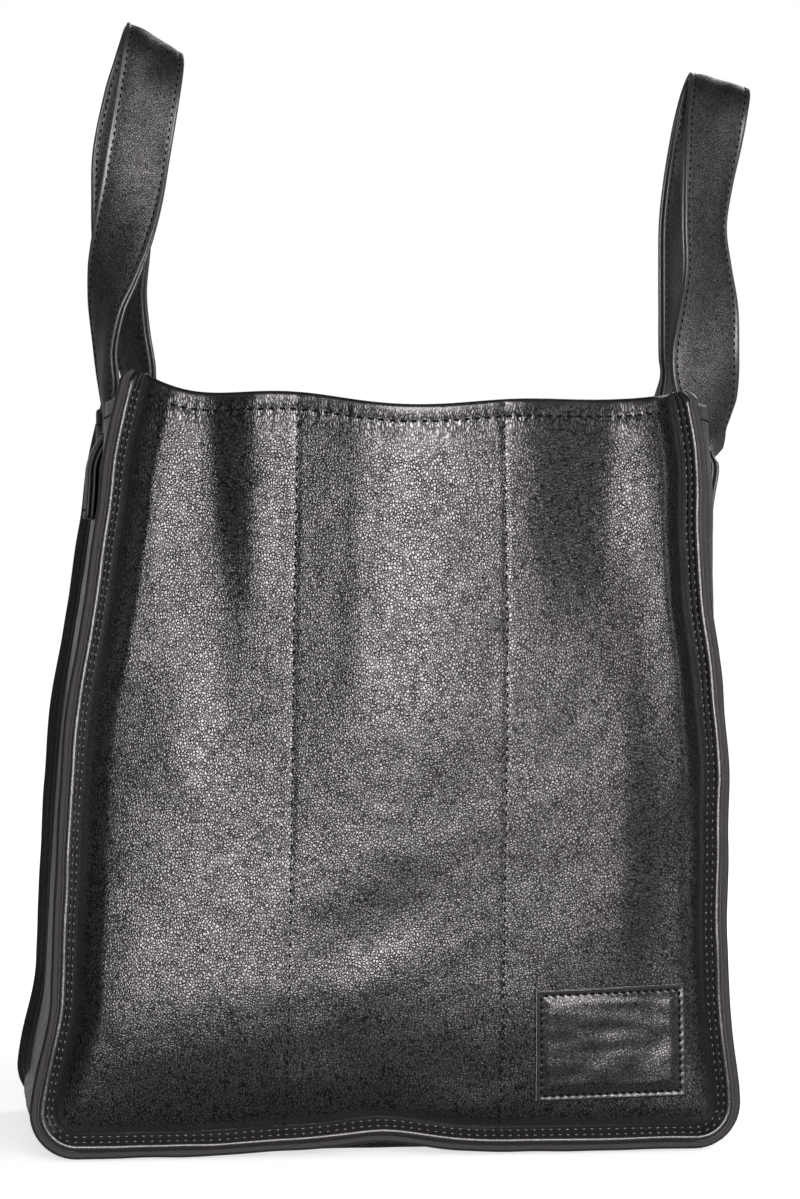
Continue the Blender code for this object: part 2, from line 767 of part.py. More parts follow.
def strap_lengths(frames):
    lengths = [0.0]
    for first, second in zip(frames, frames[1:]):
        lengths.append(lengths[-1] + float(np.linalg.norm((second - first)[:3])))
    return lengths


def between(frames, start, stop):
    """The frames between two lengths along a strap."""
    lengths = strap_lengths(frames)

    def at(length):
        for i in range(len(frames) - 1):
            if lengths[i + 1] >= length:
                share = (length - lengths[i]) / (lengths[i + 1] - lengths[i])
                return blend(frames[i], frames[i + 1], share)
        return frames[-1]

    spare = CUT_SPARE * STRAP_STEP
    middle = [
        frame for frame, length in zip(frames, lengths)
        if start + spare < length < stop - spare
    ]
    return [at(start)] + middle + [at(stop)]


def length_at_height(frames, z):
    """Length along a strap where it first rises past a height."""
    lengths = strap_lengths(frames)
    for i in range(len(frames) - 1):
        low, high = frames[i][2], frames[i + 1][2]
        if low <= z < high:
            return blend(lengths[i], lengths[i + 1], (z - low) / (high - low))
    return 0.0


def strap(name, frames, near, far, look, origin):
    """A strap layer between two distances from the strap's middle plane, its long edges eased."""
    half = 0.5 * STRAP_WIDTH
    flat = half - STRAP_EDGE
    section = ((-half, STRAP_EDGE), (-flat, 0.0), (flat, 0.0), (half, STRAP_EDGE))
    inside, outside = [], []
    for frame in frames:
        centre, across, out = frame[:3], frame[3:6], frame[6:]
        inside.append([centre + place * across + (near + ease) * out for place, ease in section])
        outside.append([centre + place * across + (far - ease) * out for place, ease in section])
    shell = Shell(name)
    shell.slab(inside, outside)
    return shell.finish(look, origin)


def handle(side, look):
    """One handle: sewn ends outside and inside the gusset, two short bends at the rim, and
    the two-layer loop that swings on them."""
    name = "left" if side < 0 else "right"
    frames = strap_frames(handle_stations(side))
    total = strap_lengths(frames)[-1]
    loop_foot = RIM_HEIGHT + LOOP_RISE
    cuts = [
        0.0,
        length_at_height(frames, RIM_HEIGHT - OUTER_END_TOP[side]),
        length_at_height(frames, loop_foot),
        total - length_at_height(frames[::-1], loop_foot),
        total - length_at_height(frames[::-1], RIM_HEIGHT - INNER_END_TOP),
        total,
    ]
    gap = 0.5 * FIT_GAP
    runs = [between(frames, start + gap, stop - gap) for start, stop in zip(cuts, cuts[1:])]
    outer_end, outer_bend, loop, inner_bend, inner_end = runs
    hinge = (side * (rim_reach(side) - LEATHER), 0.0, RIM_HEIGHT)
    fixed = (0.0, 0.0, 0.0)
    strap(f"{name}_handle_outer_end", outer_end, -STRAP_HALF, STRAP_HALF, look, fixed)
    strap(f"{name}_handle_outer_bend", outer_bend, -STRAP_HALF, STRAP_HALF, look, hinge)
    strap(f"{name}_handle_face", loop, gap, STRAP_HALF, look, hinge)
    strap(f"{name}_handle_lining", loop, -STRAP_HALF, -gap, look, hinge)
    strap(f"{name}_handle_inner_bend", inner_bend, -STRAP_HALF, STRAP_HALF, look, hinge)
    strap(f"{name}_handle_inner_end", inner_end, -STRAP_HALF, STRAP_HALF, look, fixed)


def build():
    clear_scene()
    looks = {name: material(name) for name in FINISHES}
    leather = looks["black_leather"]
    panel("front_panel", leather, 1)
    panel("back_panel", leather, -1)
    gusset(leather)
    base_board(looks["base_fibreboard"])
    cross_divider(-1, looks["divider_suede"])
    cross_divider(1, looks["divider_suede"])
    long_divider(looks["divider_suede"])
    label_patch(leather)
    handle(-1, looks["strap_leather"])
    handle(1, looks["strap_leather"])


build()
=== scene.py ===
"""Looks of a black leather bottle bag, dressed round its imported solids.

Shapes are worked out in millimetres and turned to metres where a mesh is made. X runs to the
right, Y to the back and Z up, from the middle of the base."""

import math

import bmesh
import bpy
import numpy as np
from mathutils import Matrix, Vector, noise


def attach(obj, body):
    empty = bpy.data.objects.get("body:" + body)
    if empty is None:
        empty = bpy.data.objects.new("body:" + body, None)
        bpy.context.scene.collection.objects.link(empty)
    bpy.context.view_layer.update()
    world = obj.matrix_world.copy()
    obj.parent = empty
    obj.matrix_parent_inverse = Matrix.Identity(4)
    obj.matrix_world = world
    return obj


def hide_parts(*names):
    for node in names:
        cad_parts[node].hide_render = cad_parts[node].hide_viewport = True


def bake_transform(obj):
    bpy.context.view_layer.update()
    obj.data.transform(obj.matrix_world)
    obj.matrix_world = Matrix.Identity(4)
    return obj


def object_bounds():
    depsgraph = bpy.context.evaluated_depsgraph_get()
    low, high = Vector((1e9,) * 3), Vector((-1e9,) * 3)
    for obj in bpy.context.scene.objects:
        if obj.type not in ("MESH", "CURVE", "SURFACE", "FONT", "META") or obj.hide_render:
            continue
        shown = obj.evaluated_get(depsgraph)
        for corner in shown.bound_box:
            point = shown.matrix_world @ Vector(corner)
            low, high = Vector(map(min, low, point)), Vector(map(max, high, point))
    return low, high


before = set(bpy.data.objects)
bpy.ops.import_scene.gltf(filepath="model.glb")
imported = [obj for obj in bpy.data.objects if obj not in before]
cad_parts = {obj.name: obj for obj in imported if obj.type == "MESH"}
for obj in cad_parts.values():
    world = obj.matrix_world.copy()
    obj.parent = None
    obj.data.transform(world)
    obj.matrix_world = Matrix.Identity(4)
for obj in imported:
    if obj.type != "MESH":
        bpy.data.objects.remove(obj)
cad_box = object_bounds()

MM = 0.001

# Leather and its folds
LEATHER = 1.4
SEAM_GAP = 0.3
SEWN_GAP = 0.6
FIT_GAP = 0.3
HEM_DEPTH = 9.0
HEM_STITCH_DROP = 6.0
SEAM_ROW_START = 5.0
GROOVE_DEPTH = 0.42
GROOVE_WIDTH = 0.95

# Bag body
RIM_HEIGHT = 262.0
SEAM_HALF_WIDTH = 116.0
SEAM_HALF_DEPTH = 70.0
SEAM_RISE = 6.6
SEAM_CORNER_RADIUS = 10.0
CORNER_FLARE = {-1: 5.0, 1: 3.0}
FLARE_HEIGHT = 45.0
TOP_WIDTH_INSET = {-1: 26.0, 1: 9.0}
WIDTH_LEAN_POWER = 2.2
TOP_DEPTH_INSET = 13.0
RIM_CORNER_LIFT = {-1: 9.0, 1: 3.0}
RIM_LIFT_POWER = 8
RIM_DIP = 3.0
WALL_FOOT = SEAM_RISE + SEAM_CORNER_RADIUS

# Fullness of the leather between its seams, and waves with a height, size and seed
PANEL_CROWN = 5.0
PANEL_TOP_CROWN = 13.0
PANEL_EASE_HEIGHT = 54.0
PANEL_WAVES = ((0.4, 26.0, 1), (0.2, 9.0, 2))
GUSSET_WAVES = ((0.4, 30.0, 5), (0.2, 10.0, 6))
FOLD_FADE = 0.35
FOLD_SETTLE_HEIGHT = 110.0
FOLD_SETTLE_WIDTH = 9.0
BASE_LIFT_TOP = 42.0
SHOULDER_RISE = 2.4
SHOULDER_WIDTH = 3.4
GUSSET_CROWN = {-1: 2.5, 1: 4.0}
GUSSET_BELLY = {-1: 0.0, 1: 10.0}
GUSSET_LIP = {-1: 8.0, 1: 4.0}
GUSSET_BULGE = {-1: 0.0, 1: 2.2}
BULGE_PLACE = (222.0, -0.5)
BULGE_SIZE = (28.0, 0.28)
BELLY_HEIGHT = 190.0
LIP_START = 200.0
HANDLE_PINCH = 10.0
PINCH_START = 238.0
BASE_FLAT_SHARE = 0.78
PINCH_FLAT_SHARE = 0.25
PINCH_END_SHARE = 0.55

# Raised seam flange
FLANGE_REACH = 7.0
FLANGE_ANGLE = math.radians(55.0)
TURNED_EDGE = 2 * LEATHER
FLANGE_ROWS = (4.0, 1.3)
TIP_SWELL = 1.12
FLANGE_SWAY = ((0.55, 34.0, 3),)
REACH_UNEVEN = 0.05
TAPER_DROP = 4.0
TAPER_SHARE = 0.45
SECTION_COUNT = 16

# Rows and columns of the leather's grids
ROUND_DROPS = (0.0, 0.12, 0.4, 0.8, 1.4)
HEM_ROW = 0.85
FIELD_ROW = 1.45
PANEL_COLUMNS = 240
GUSSET_COLUMNS = 74
ARC_STEPS = 12

# Stitching
PANEL_PITCH = 3.7
SEAM_PITCH = 2.9
PATCH_PITCH = 2.75
STRAP_PITCH = 2.8
LINE_SAMPLES = 600
SEAM_SAMPLES = 3000
STRAP_SAMPLES = 1600

# Photograph's frame, and the floor
CAMERA_TURN = math.radians(7.0)
CAMERA_PLACE = (-0.1666, -1.4645, 0.192)
CAMERA_LENS = 121.84
FLOOR_REACH = 30.0


# Small helpers

def smooth_step(value):
    value = np.clip(value, 0.0, 1.0)
    return value * value * (3.0 - 2.0 * value)


def smooth_between(value, start, end):
    return smooth_step((value - start) / (end - start))


def blend(first, second, share):
    return first + (second - first) * share


def bell(value, centre, width):
    return np.exp(-((value - centre) / width) ** 2)


def stacked(*parts):
    """Points from arrays or single values of each coordinate."""
    return np.stack(np.broadcast_arrays(*parts), -1)


def waves(points, size, seed):
    """Smooth unevenness of one size over an array of points, from -1 to 1."""
    shift = Vector((seed * 7.31, seed * 3.17, seed * 5.73))
    values = [noise.noise(Vector(point) + shift) for point in points.reshape(-1, 3) / size]
    return np.array(values).reshape(points.shape[:-1])


def unevenness(points, layers):
    """Waves of several sizes over an array of points, each with a height, size and seed."""
    return sum(height * waves(points, size, seed) for height, size, seed in layers)


def rises(x, table):
    """Soft rises along a line, each with a height, place and width."""
    return sum(height * bell(x, place, width) for height, place, width in table)


def new_object(name, data):
    made = bpy.data.objects.new(name, data)
    bpy.context.scene.collection.objects.link(made)
    return made


def surface_normals(grid):
    """Unit normals of a grid of points, by its differences along rows and columns."""
    down = np.gradient(grid, axis=0)
    across = np.gradient(grid, axis=1)
    normals = np.cross(down, across)
    return normals / np.maximum(np.linalg.norm(normals, axis=2, keepdims=True), 1e-9)


class Shell:
    """A closed leather shell gathered from grids of points, each with a finish and a grain."""

    def __init__(self, name):
        self.name = name
        self.points, self.grain, self.pull, self.faces, self.looks = [], [], [], [], []
        self.count = 0

    def grid(self, points, look=0, grain=1.0, pull=0.0):
        points = np.asarray(points, float)
        rows, columns = points.shape[:2]
        self.points.append(points.reshape(-1, 3))
        self.grain.append(np.broadcast_to(grain, (rows, columns)).ravel())
        self.pull.append(np.broadcast_to(pull, (rows, columns)).ravel())
        index = np.arange(rows * columns).reshape(rows, columns) + self.count
        quads = np.stack([index[:-1, :-1], index[:-1, 1:], index[1:, 1:], index[1:, :-1]], 2)
        self.faces.append(quads.reshape(-1, 4))
        self.looks.append(np.full(len(self.faces[-1]), look))
        self.count += rows * columns

    def slab(self, front, back, looks=(0, 0, 0), grain=1.0):
        """Front and back grids, closed round their borders."""
        self.grid(front, looks[0], grain)
        self.grid(back, looks[1], grain)
        for edge in (np.s_[0], np.s_[-1], np.s_[:, 0], np.s_[:, -1]):
            self.grid(np.stack([front[edge], back[edge]]), looks[2], 0.3)

    def plate(self, front, back, kept):
        """Front and back grids without the cells left out, closed round every border."""
        first = np.arange(kept.size + sum(kept.shape) + 1).reshape(front.shape[:2]) + self.count
        second = first + first.size
        for points in (front, back):
            self.grid(points)
            self.faces[-1] = self.faces[-1][kept.ravel()]
        wide = np.pad(kept, 1)
        r, c = np.nonzero(wide[1:-1, 1:] != wide[1:-1, :-1])
        upright = np.stack([first[r, c], first[r + 1, c], second[r + 1, c], second[r, c]], 1)
        r, c = np.nonzero(wide[1:, 1:-1] != wide[:-1, 1:-1])
        level = np.stack([first[r, c], first[r, c + 1], second[r, c + 1], second[r, c]], 1)
        self.faces += [upright, level]
        self.looks = [np.zeros(sum(len(faces) for faces in self.faces), int)]

    def finish(self, materials):
        data = bpy.data.meshes.new(self.name)
        points = np.concatenate(self.points) * MM
        data.from_pydata(points.tolist(), [], np.concatenate(self.faces).tolist())
        for key, parts in (("grain", self.grain), ("pull", self.pull)):
            layer = data.attributes.new(key, "FLOAT", "POINT")
            layer.data.foreach_set("value", np.concatenate(parts).astype(np.float32))
        data.polygons.foreach_set("material_index", np.concatenate(self.looks))
        for material in materials:
            data.materials.append(material)
        work = bmesh.new()
        work.from_mesh(data)
        bmesh.ops.remove_doubles(work, verts=work.verts, dist=2e-6)
        bmesh.ops.dissolve_degenerate(work, edges=work.edges, dist=1e-7)
        loose = [point for point in work.verts if not point.link_faces]
        bmesh.ops.delete(work, geom=loose, context="VERTS")
        bmesh.ops.recalc_face_normals(work, faces=work.faces)
        if work.calc_volume(signed=True) < 0.0:
            bmesh.ops.reverse_faces(work, faces=work.faces)
        work.to_mesh(data)
        work.free()
        data.shade_smooth()
        return new_object(self.name, data)


# Finishes

def linear(code):
    """Linear colour of an sRGB hex value."""
    channels = [int(code[i:i + 2], 16) / 255.0 for i in (1, 3, 5)]
    return [c / 12.92 if c <= 0.04045 else ((c + 0.055) / 1.055) ** 2.4 for c in channels] + [1.0]


def set_node(tree, node, settings, **links):
    """Sets a node's properties and inputs, and joins the sockets given by name or number. A
    node that is given as a source stands for its first output."""
    for key, value in settings.items():
        if isinstance(key, str) and hasattr(node, key):
            setattr(node, key, value)
        else:
            node.inputs[key].default_value = value
    for key, source in links.items():
        socket = node.inputs[int(key[1:]) if key[1:].isdigit() else key.replace("_", " ")]
        tree.links.new(getattr(source, "outputs", [source])[0], socket)


def add_node(tree, kind, settings=None, **links):
    node = tree.nodes.new(kind)
    set_node(tree, node, settings or {}, **links)
    return node


def new_material(name):
    """A material with its tree, its shader and the place on the object that patterns read."""
    made = bpy.data.materials.new(name)
    made.use_nodes = True
    tree = made.node_tree
    place = add_node(tree, "ShaderNodeTexCoord").outputs["Object"]
    return made, tree, tree.nodes["Principled BSDF"], place


def pebbled_leather(name, painted_crease_shade, top, pebble_mm, roughness, relief_mm, crease_shade_coat,
                    flat_shine, full_shine):
    """Drum-dyed nappa: soft domed pebbles that catch the light on their tops, with creases
    between them that come and go in patches; the creases are painted darker and lose most of
    their coat, as painted shade. Beside a row of stitches the pebbles are drawn out long, and
    where the leather is pulled flat at a seam they fade. Where the grain is low the coat is set
    apart: on the panel leather it is thinned, as painted shade over flanges, seam margins and
    hem lip; the strap leather keeps a little more coat at its edges than in its middle."""
    made, tree, shader, place = new_material(name)
    drift = add_node(tree, "ShaderNodeTexNoise", {"Scale": 0.3 / MM, "Detail": 2.0}, Vector=place)
    centred = add_node(tree, "ShaderNodeVectorMath", {"operation": "SUBTRACT", 1: (0.5, 0.5, 0.5)},
                       i0=drift.outputs["Color"])
    pushed = add_node(tree, "ShaderNodeVectorMath", {"operation": "SCALE", "Scale": 1.5 * MM},
                      i0=centred)
    warped = add_node(tree, "ShaderNodeVectorMath", {"operation": "ADD"}, i0=place, i1=pushed)
    nets = []
    for stretch in (0.84, 0.36):
        drawn = add_node(tree, "ShaderNodeVectorMath",
                         {"operation": "MULTIPLY", 1: (1.0, 1.0, stretch)}, i0=warped)
        nets.append(add_node(tree, "ShaderNodeTexVoronoi", {
            "feature": "DISTANCE_TO_EDGE", "Scale": 1.0 / (pebble_mm * MM)}, Vector=drawn))
    pull, grain = (add_node(tree, "ShaderNodeAttribute", {"attribute_name": key}).outputs["Fac"]
                   for key in ("pull", "grain"))
    inward = add_node(tree, "ShaderNodeMix", {"data_type": "FLOAT"},
                      i0=pull, i2=nets[0], i3=nets[1])
    slope = add_node(tree, "ShaderNodeMapRange", {
        "From Min": 0.0, "From Max": 0.45, "To Min": 1.0, "To Max": 0.0}, Value=inward)
    dome = add_node(tree, "ShaderNodeMath", {"operation": "POWER", 1: 2.0}, i0=slope)
    # Mask of the creases between pebbles; it carries painted shade, a darker colour and less coat.
    crease = add_node(tree, "ShaderNodeMapRange", {
        "interpolation_type": "SMOOTHSTEP", "From Min": 0.0, "From Max": 0.3,
        "To Min": 1.0, "To Max": 0.0}, Value=inward)
    fine = add_node(tree, "ShaderNodeTexNoise", {"Scale": 1.7 / MM, "Detail": 3.0}, Vector=place)
    broad = add_node(tree, "ShaderNodeTexNoise", {"Scale": 0.12 / MM, "Detail": 3.0}, Vector=place)
    clouds = add_node(tree, "ShaderNodeTexNoise", {"Scale": 0.34 / MM, "Detail": 2.0}, Vector=place)
    depth = add_node(tree, "ShaderNodeMapRange", {
        "From Min": 0.35, "From Max": 0.65, "To Min": 0.85, "To Max": 1.12}, Value=clouds)
    tops = add_node(tree, "ShaderNodeMath", {"operation": "MULTIPLY", 1: 0.6}, i0=fine)
    domed = add_node(tree, "ShaderNodeMath", {"operation": "MULTIPLY"}, i0=dome, i1=depth)
    height = add_node(tree, "ShaderNodeMath", {"operation": "SUBTRACT"}, i0=tops, i1=domed)
    bump = add_node(tree, "ShaderNodeBump", {"Distance": relief_mm * MM},
                    Strength=grain, Height=height)
    # Painted shade in the creases, stronger in some patches and fading where the grain is low.
    crease_shade_mask = add_node(tree, "ShaderNodeMath", {"operation": "MULTIPLY"}, i0=crease, i1=depth)
    sunk = add_node(tree, "ShaderNodeMath", {"operation": "MULTIPLY", "use_clamp": True},
                    i0=crease_shade_mask, i1=grain)
    # Painted shade: the creases take the darker colour.
    tint = add_node(tree, "ShaderNodeMix",
                    {"data_type": "RGBA", 6: linear(top), 7: linear(painted_crease_shade)}, i0=sunk)
    waxed = add_node(tree, "ShaderNodeMapRange", {
        "From Min": 0.3, "From Max": 0.7, "To Min": 0.55, "To Max": 1.5}, Value=fine)
    # Painted shade: the creases lose most of their coat.
    shine = add_node(tree, "ShaderNodeMapRange", {"To Min": 1.0, "To Max": crease_shade_coat},
                     Value=sunk)
    # Coat set by the grain: where the grain is low, the panel leather's coat is thinned as painted
    # shade over flanges, seam margins and hem lip, and the strap leather keeps a little more coat
    # at its edges.
    painted_flat_coat = add_node(tree, "ShaderNodeMapRange", {"To Min": flat_shine, "To Max": full_shine},
                      Value=grain)
    glossed = add_node(tree, "ShaderNodeMath", {"operation": "MULTIPLY"}, i0=shine, i1=painted_flat_coat)
    finish = add_node(tree, "ShaderNodeMath", {"operation": "MULTIPLY", "use_clamp": True},
                      i0=waxed, i1=glossed)
    patchy = add_node(tree, "ShaderNodeMapRange", {
        "From Min": 0.35, "From Max": 0.65, "To Min": roughness - 0.03, "To Max": roughness + 0.08},
        Value=broad)
    shader_settings = {"Specular IOR Level": 0.12, "Specular Tint": linear("#fff8fb"),
                       "Coat Roughness": roughness, "Coat IOR": 1.6}
    set_node(tree, shader, shader_settings, Base_Color=tint.outputs[2], Roughness=patchy,
             Coat_Weight=finish, Normal=bump, Coat_Normal=bump)
    return made


def fibrous(name, low, high, fibre_per_mm, detail, patch_per_mm, relief, finish):
    """A dull surface of short fibres, with cloudy patches of two colours."""
    made, tree, shader, place = new_material(name)
    fibre = add_node(tree, "ShaderNodeTexNoise", {"Scale": fibre_per_mm / MM, "Detail": detail},
                     Vector=place)
    patches = fibre if patch_per_mm is None else add_node(
        tree, "ShaderNodeTexNoise", {"Scale": patch_per_mm / MM, "Detail": 3.0}, Vector=place)
    tint = add_node(tree, "ShaderNodeMix", {"data_type": "RGBA", 6: linear(low), 7: linear(high)},
                    i0=patches)
    bump = add_node(tree, "ShaderNodeBump", {"Distance": relief[0] * MM, "Strength": relief[1]},
                    Height=fibre)
    set_node(tree, shader, finish, Base_Color=tint.outputs[2], Normal=bump)
    return made


def napped_leather(name, colour, lift, nap_mm):
    """Split suede or a flesh side: short raised fibres, dull, with cloudy strokes."""
    return fibrous(name, colour, lift, 1.0 / nap_mm, 4.0, 0.06, (0.12, 0.6),
                   {"Roughness": 0.92, "Sheen Weight": 0.15})


def fibreboard_finish(name):
    """Pressed fibreboard: matt brown with darker flecks of pulp."""
    return fibrous(name, "#4b3d2e", "#7a664d", 0.7, 5.0, None, (0.1, 0.5), {"Roughness": 0.85})


def thread_finish(name, colour, roughness):
    """Bonded polyester thread: twisted plies, dull where sunk and glossier where it stands proud.
    The colour is given; a lighter grey than the thread's own black is painted highlight.
    """
    made, tree, shader, place = new_material(name)
    plies = add_node(tree, "ShaderNodeTexNoise", {"Scale": 4.0 / MM, "Detail": 2.0}, Vector=place)
    bump = add_node(tree, "ShaderNodeBump", {"Distance": 0.05 * MM, "Strength": 0.5}, Height=plies)
    shader_settings = {"Base Color": linear(colour), "Roughness": roughness,
                       "Specular IOR Level": 0.5 if roughness < 0.5 else 0.1}
    set_node(tree, shader, shader_settings, Normal=bump)
    return made


# The first colour of each leather is painted shade in the creases between pebbles. Of the last
# three numbers, the first is the coat left in the creases, also painted shade, and the next two are
# the coat where the grain is low and where it is full.
PANEL_LEATHER = pebbled_leather("drum_dyed_nappa_leather", "#020202", "#161416", 0.9, 0.31, 0.064,
                                0.02, 0.4, 1.0)
STRAP_LEATHER = pebbled_leather("drum_dyed_strap_leather", "#070707", "#232225", 0.66, 0.4, 0.055,
                                0.2, 0.75, 0.68)
FLESH_SIDE = napped_leather("nappa_flesh_side", "#1d1b1d", "#272427", 0.35)
SUEDE = napped_leather("black_split_suede", "#1a191a", "#262426", 0.3)
CUT_EDGE = napped_leather("raw_cut_leather_edge", "#87848a", "#a9a5a9", 0.25)
SUNK_THREAD = thread_finish("bonded_polyester_thread", "#040405", 0.8)
# The seam rows' copy of the same black thread is painted a lighter grey, as painted highlight.
SEAM_THREAD_PAINTED_HIGHLIGHT = thread_finish("seam_thread_painted_highlight", "#3c3a3e", 0.38)
FIBREBOARD = fibreboard_finish("pressed_fibreboard")


# Outline of the bag: the lines of its solids, and how the soft leather wavers over them

def rim_share(z):
    return np.maximum(z, 0.0) / RIM_HEIGHT


def half_width(side, z):
    flare = CORNER_FLARE[side] * smooth_step((z - SEAM_CORNER_RADIUS) / FLARE_HEIGHT)
    return SEAM_HALF_WIDTH - flare - TOP_WIDTH_INSET[side] * rim_share(z) ** WIDTH_LEAN_POWER


def half_depth(z):
    return SEAM_HALF_DEPTH - TOP_DEPTH_INSET * rim_share(z) ** 2


def panel_rim(share):
    lift = np.where(share < 0, RIM_CORNER_LIFT[-1], RIM_CORNER_LIFT[1])
    dip = RIM_DIP * (1.0 - share * share) ** 3
    return RIM_HEIGHT + lift * np.abs(share) ** RIM_LIFT_POWER - dip


def gusset_rim(side, share):
    return RIM_HEIGHT + RIM_CORNER_LIFT[side] * np.abs(share) ** RIM_LIFT_POWER


def gusset_fullness(side, share, z):
    """How far the gusset stands out between its seams, with a soft bulge beside the strap."""
    crown = GUSSET_CROWN[side] + GUSSET_BELLY[side] * smooth_step(z / BELLY_HEIGHT)
    lip = np.maximum(0.0, (z - LIP_START) / (RIM_HEIGHT - LIP_START))
    crown = crown + GUSSET_LIP[side] * lip ** 2
    pinch = HANDLE_PINCH * smooth_between(z, PINCH_START, RIM_HEIGHT)
    fade = smooth_between(np.abs(share), PINCH_FLAT_SHARE, PINCH_END_SHARE)
    bulge = bell(z, BULGE_PLACE[0], BULGE_SIZE[0]) * bell(share, BULGE_PLACE[1], BULGE_SIZE[1])
    return crown * (1.0 - np.abs(share) ** 3) - pinch * (1.0 - fade) + GUSSET_BULGE[side] * bulge


def seam_wander(side, z):
    """How far the sewn edge wavers outwards from its plain line at a height."""
    heights, values = np.array(SEAM_WANDER[side]).T
    index = np.clip(np.searchsorted(heights, z) - 1, 0, len(heights) - 2)
    share = smooth_between(z, heights[index], heights[index + 1])
    return blend(values[index], values[index + 1], share)


def rim_wave(x):
    """The rim of a panel is held up where the dividers are sewn and sags between them."""
    return rises(x, ((3.4, -34.0, 25.0), (1.6, 42.0, 24.0)))


def base_lift(x):
    """The bottom seam rides up a little left of the middle."""
    return rises(x, ((4.2, -3.0, 21.0), (1.2, -38.0, 16.0)))


# Folds of the front: chain of points in x and z, width of the fold on its left or lower side
# and on its right or upper one, and height. A narrow side falls steeply and lies in shade.

FRONT_FOLDS = (
    # left column, its dark right flank and the narrow bright one
    (((-85, 340), (-90, 235), (-103, 165), (-106, 120)), 12.0, 26.0, 3.8),
    (((-62, 340), (-62, 240), (-58, 175)), 16.0, 7.0, -2.1),
    (((-46, 340), (-46, 240), (-48, 150)), 7.0, 9.0, 1.3),
    (((-90, 160), (-88, 115), (-88, 15)), 18.0, 60.0, 2.1),
    (((-71, 180), (-72, 150), (-74, 118)), 14.0, 9.0, 1.3),
    # the long slope down to the left line
    (((4, 330), (2, 200), (0, 90), (0, -80)), 66.0, 130.0, 4.6),
    # the hollow left of the middle
    (((8, 340), (8, 230), (4, 170), (-14, 70)), 27.0, 60.0, 4.6),
    (((-12, 260), (-12, 180), (-20, 130)), 4.0, 5.0, 0.3),
    # the middle and the columns on its right
    (((48, 340), (48, 240), (48, 165)), 10.0, 12.0, 0.9),
    (((75, 300), (75, 225), (72, 185)), 12.0, 10.0, -1.3),
    (((79, 220), (80, 140), (80, 30)), 36.0, 12.0, 2.9),
    (((100, 310), (101, 240), (105, 100)), 15.0, 6.0, 4.0),
    (((62, 168), (66, 146), (70, 128)), 14.0, 12.0, -0.5),
    # the rim
    (((-130, 274), (0, 266), (130, 274)), 14.0, 26.0, 2.4),
    # slanting folds over the base
    (((-62, 66), (-30, 88), (24, 118)), 10.0, 16.0, 0.5),
    (((-34, 62), (-8, 76), (20, 92)), 7.0, 7.0, -0.4),
    (((-26, 52), (-6, 61), (14, 74)), 7.0, 7.0, 0.4),
    (((-60, 66), (-50, 78), (-32, 94)), 8.0, 8.0, 0.4),
    # the deep hollow along the bottom
    (((-190, 6), (-100, 3), (-60, 3), (-14, 9), (24, 12), (100, 0)), 8.0, 28.0, -2.4),
    (((-150, 8), (-96, 2), (-62, 6), (-20, 20)), 14.0, 26.0, -3.6),
    (((4, 17), (26, 15), (50, 16)), 6.0, 8.0, 0.9),
    (((-70, 22), (-40, 24), (0, 26)), 5.0, 6.0, 0.35),
)

STITCHED_LINES = (((-31.6, 262.0), (-33.3, 178.0), (-35.7, 16.0)),
                  ((39.0, 262.0), (40.0, 178.0), (39.0, 16.0)))


def fold_height(x, z, folds):
    """Sum of soft ridges and valleys, each fading away from its own chain of points and over
    the first and last share of its length."""
    total = np.zeros_like(x)
    for chain, lower, upper, height in folds:
        points = np.array(chain, float)
        runs = np.diff(points, axis=0)
        reach = np.hypot(runs[:, 0], runs[:, 1])
        start = np.concatenate([[0.0], np.cumsum(reach)])
        away = np.full_like(x, 1e9)
        along, side = np.zeros_like(x), np.zeros_like(x)
        for (x0, z0), (run_x, run_z), length, begun in zip(points, runs, reach, start):
            share = np.clip(((x - x0) * run_x + (z - z0) * run_z) / length ** 2, 0.0, 1.0)
            off = np.hypot(x - x0 - share * run_x, z - z0 - share * run_z)
            cross = run_x * (z - z0) - run_z * (x - x0)
            nearer = off < away
            away = np.where(nearer, off, away)
            along = np.where(nearer, begun + share * length, along)
            side = np.where(nearer, cross, side)
        share = along / start[-1]
        fade = smooth_step(np.minimum(share, 1.0 - share) / FOLD_FADE)
        width = blend(lower, upper, smooth_step(0.5 + 0.5 * side / (np.abs(side) + 1e-6)))
        total += height * fade * bell(away, 0.0, width)
    return total


def line_x(line, z):
    """Place across the panel of a stitched line at a height."""
    places = sorted((height, x) for x, height in line)
    return np.interp(z, [height for height, _ in places], [x for _, x in places])


def panel_relief(x, z, drop, folds):
    """Height of the leather's folds, and of the grooves that its stitches pull, over the plain
    fullness of a panel."""
    relief = fold_height(x, z, folds)
    for line in STITCHED_LINES:
        tug = 0.72 + 0.28 * np.cos(2.0 * math.pi * z / PANEL_PITCH)
        relief -= GROOVE_DEPTH * tug * bell(x, line_x(line, z), GROOVE_WIDTH)
    relief += unevenness(stacked(x, 0.0, z), PANEL_WAVES)
    tug = np.cos(2.0 * math.pi * x / PANEL_PITCH)
    relief -= (0.22 + 0.1 * tug) * bell(drop, HEM_STITCH_DROP, 0.75)
    return relief - 0.06 * tug * bell(drop, HEM_STITCH_DROP, 4.5)


# Seam line and its flange

# Height and outward waver of the seams, in millimetres
SEAM_WANDER = {
    -1: ((6, 1.4), (25, 1.5), (58, 0.2), (89, 0.5), (123, 1.4), (151, 2.0), (192, 0.6), (219, 1.2),
         (244, 2.6), (272, 2.0)),
    1: ((6, 1.6), (21, 1.9), (41, 1.5), (75, 1.0), (108, 2.3), (135, 3.7), (161, 2.8), (195, 0.6),
        (212, 0.8), (241, 2.6), (272, 0.8)),
}


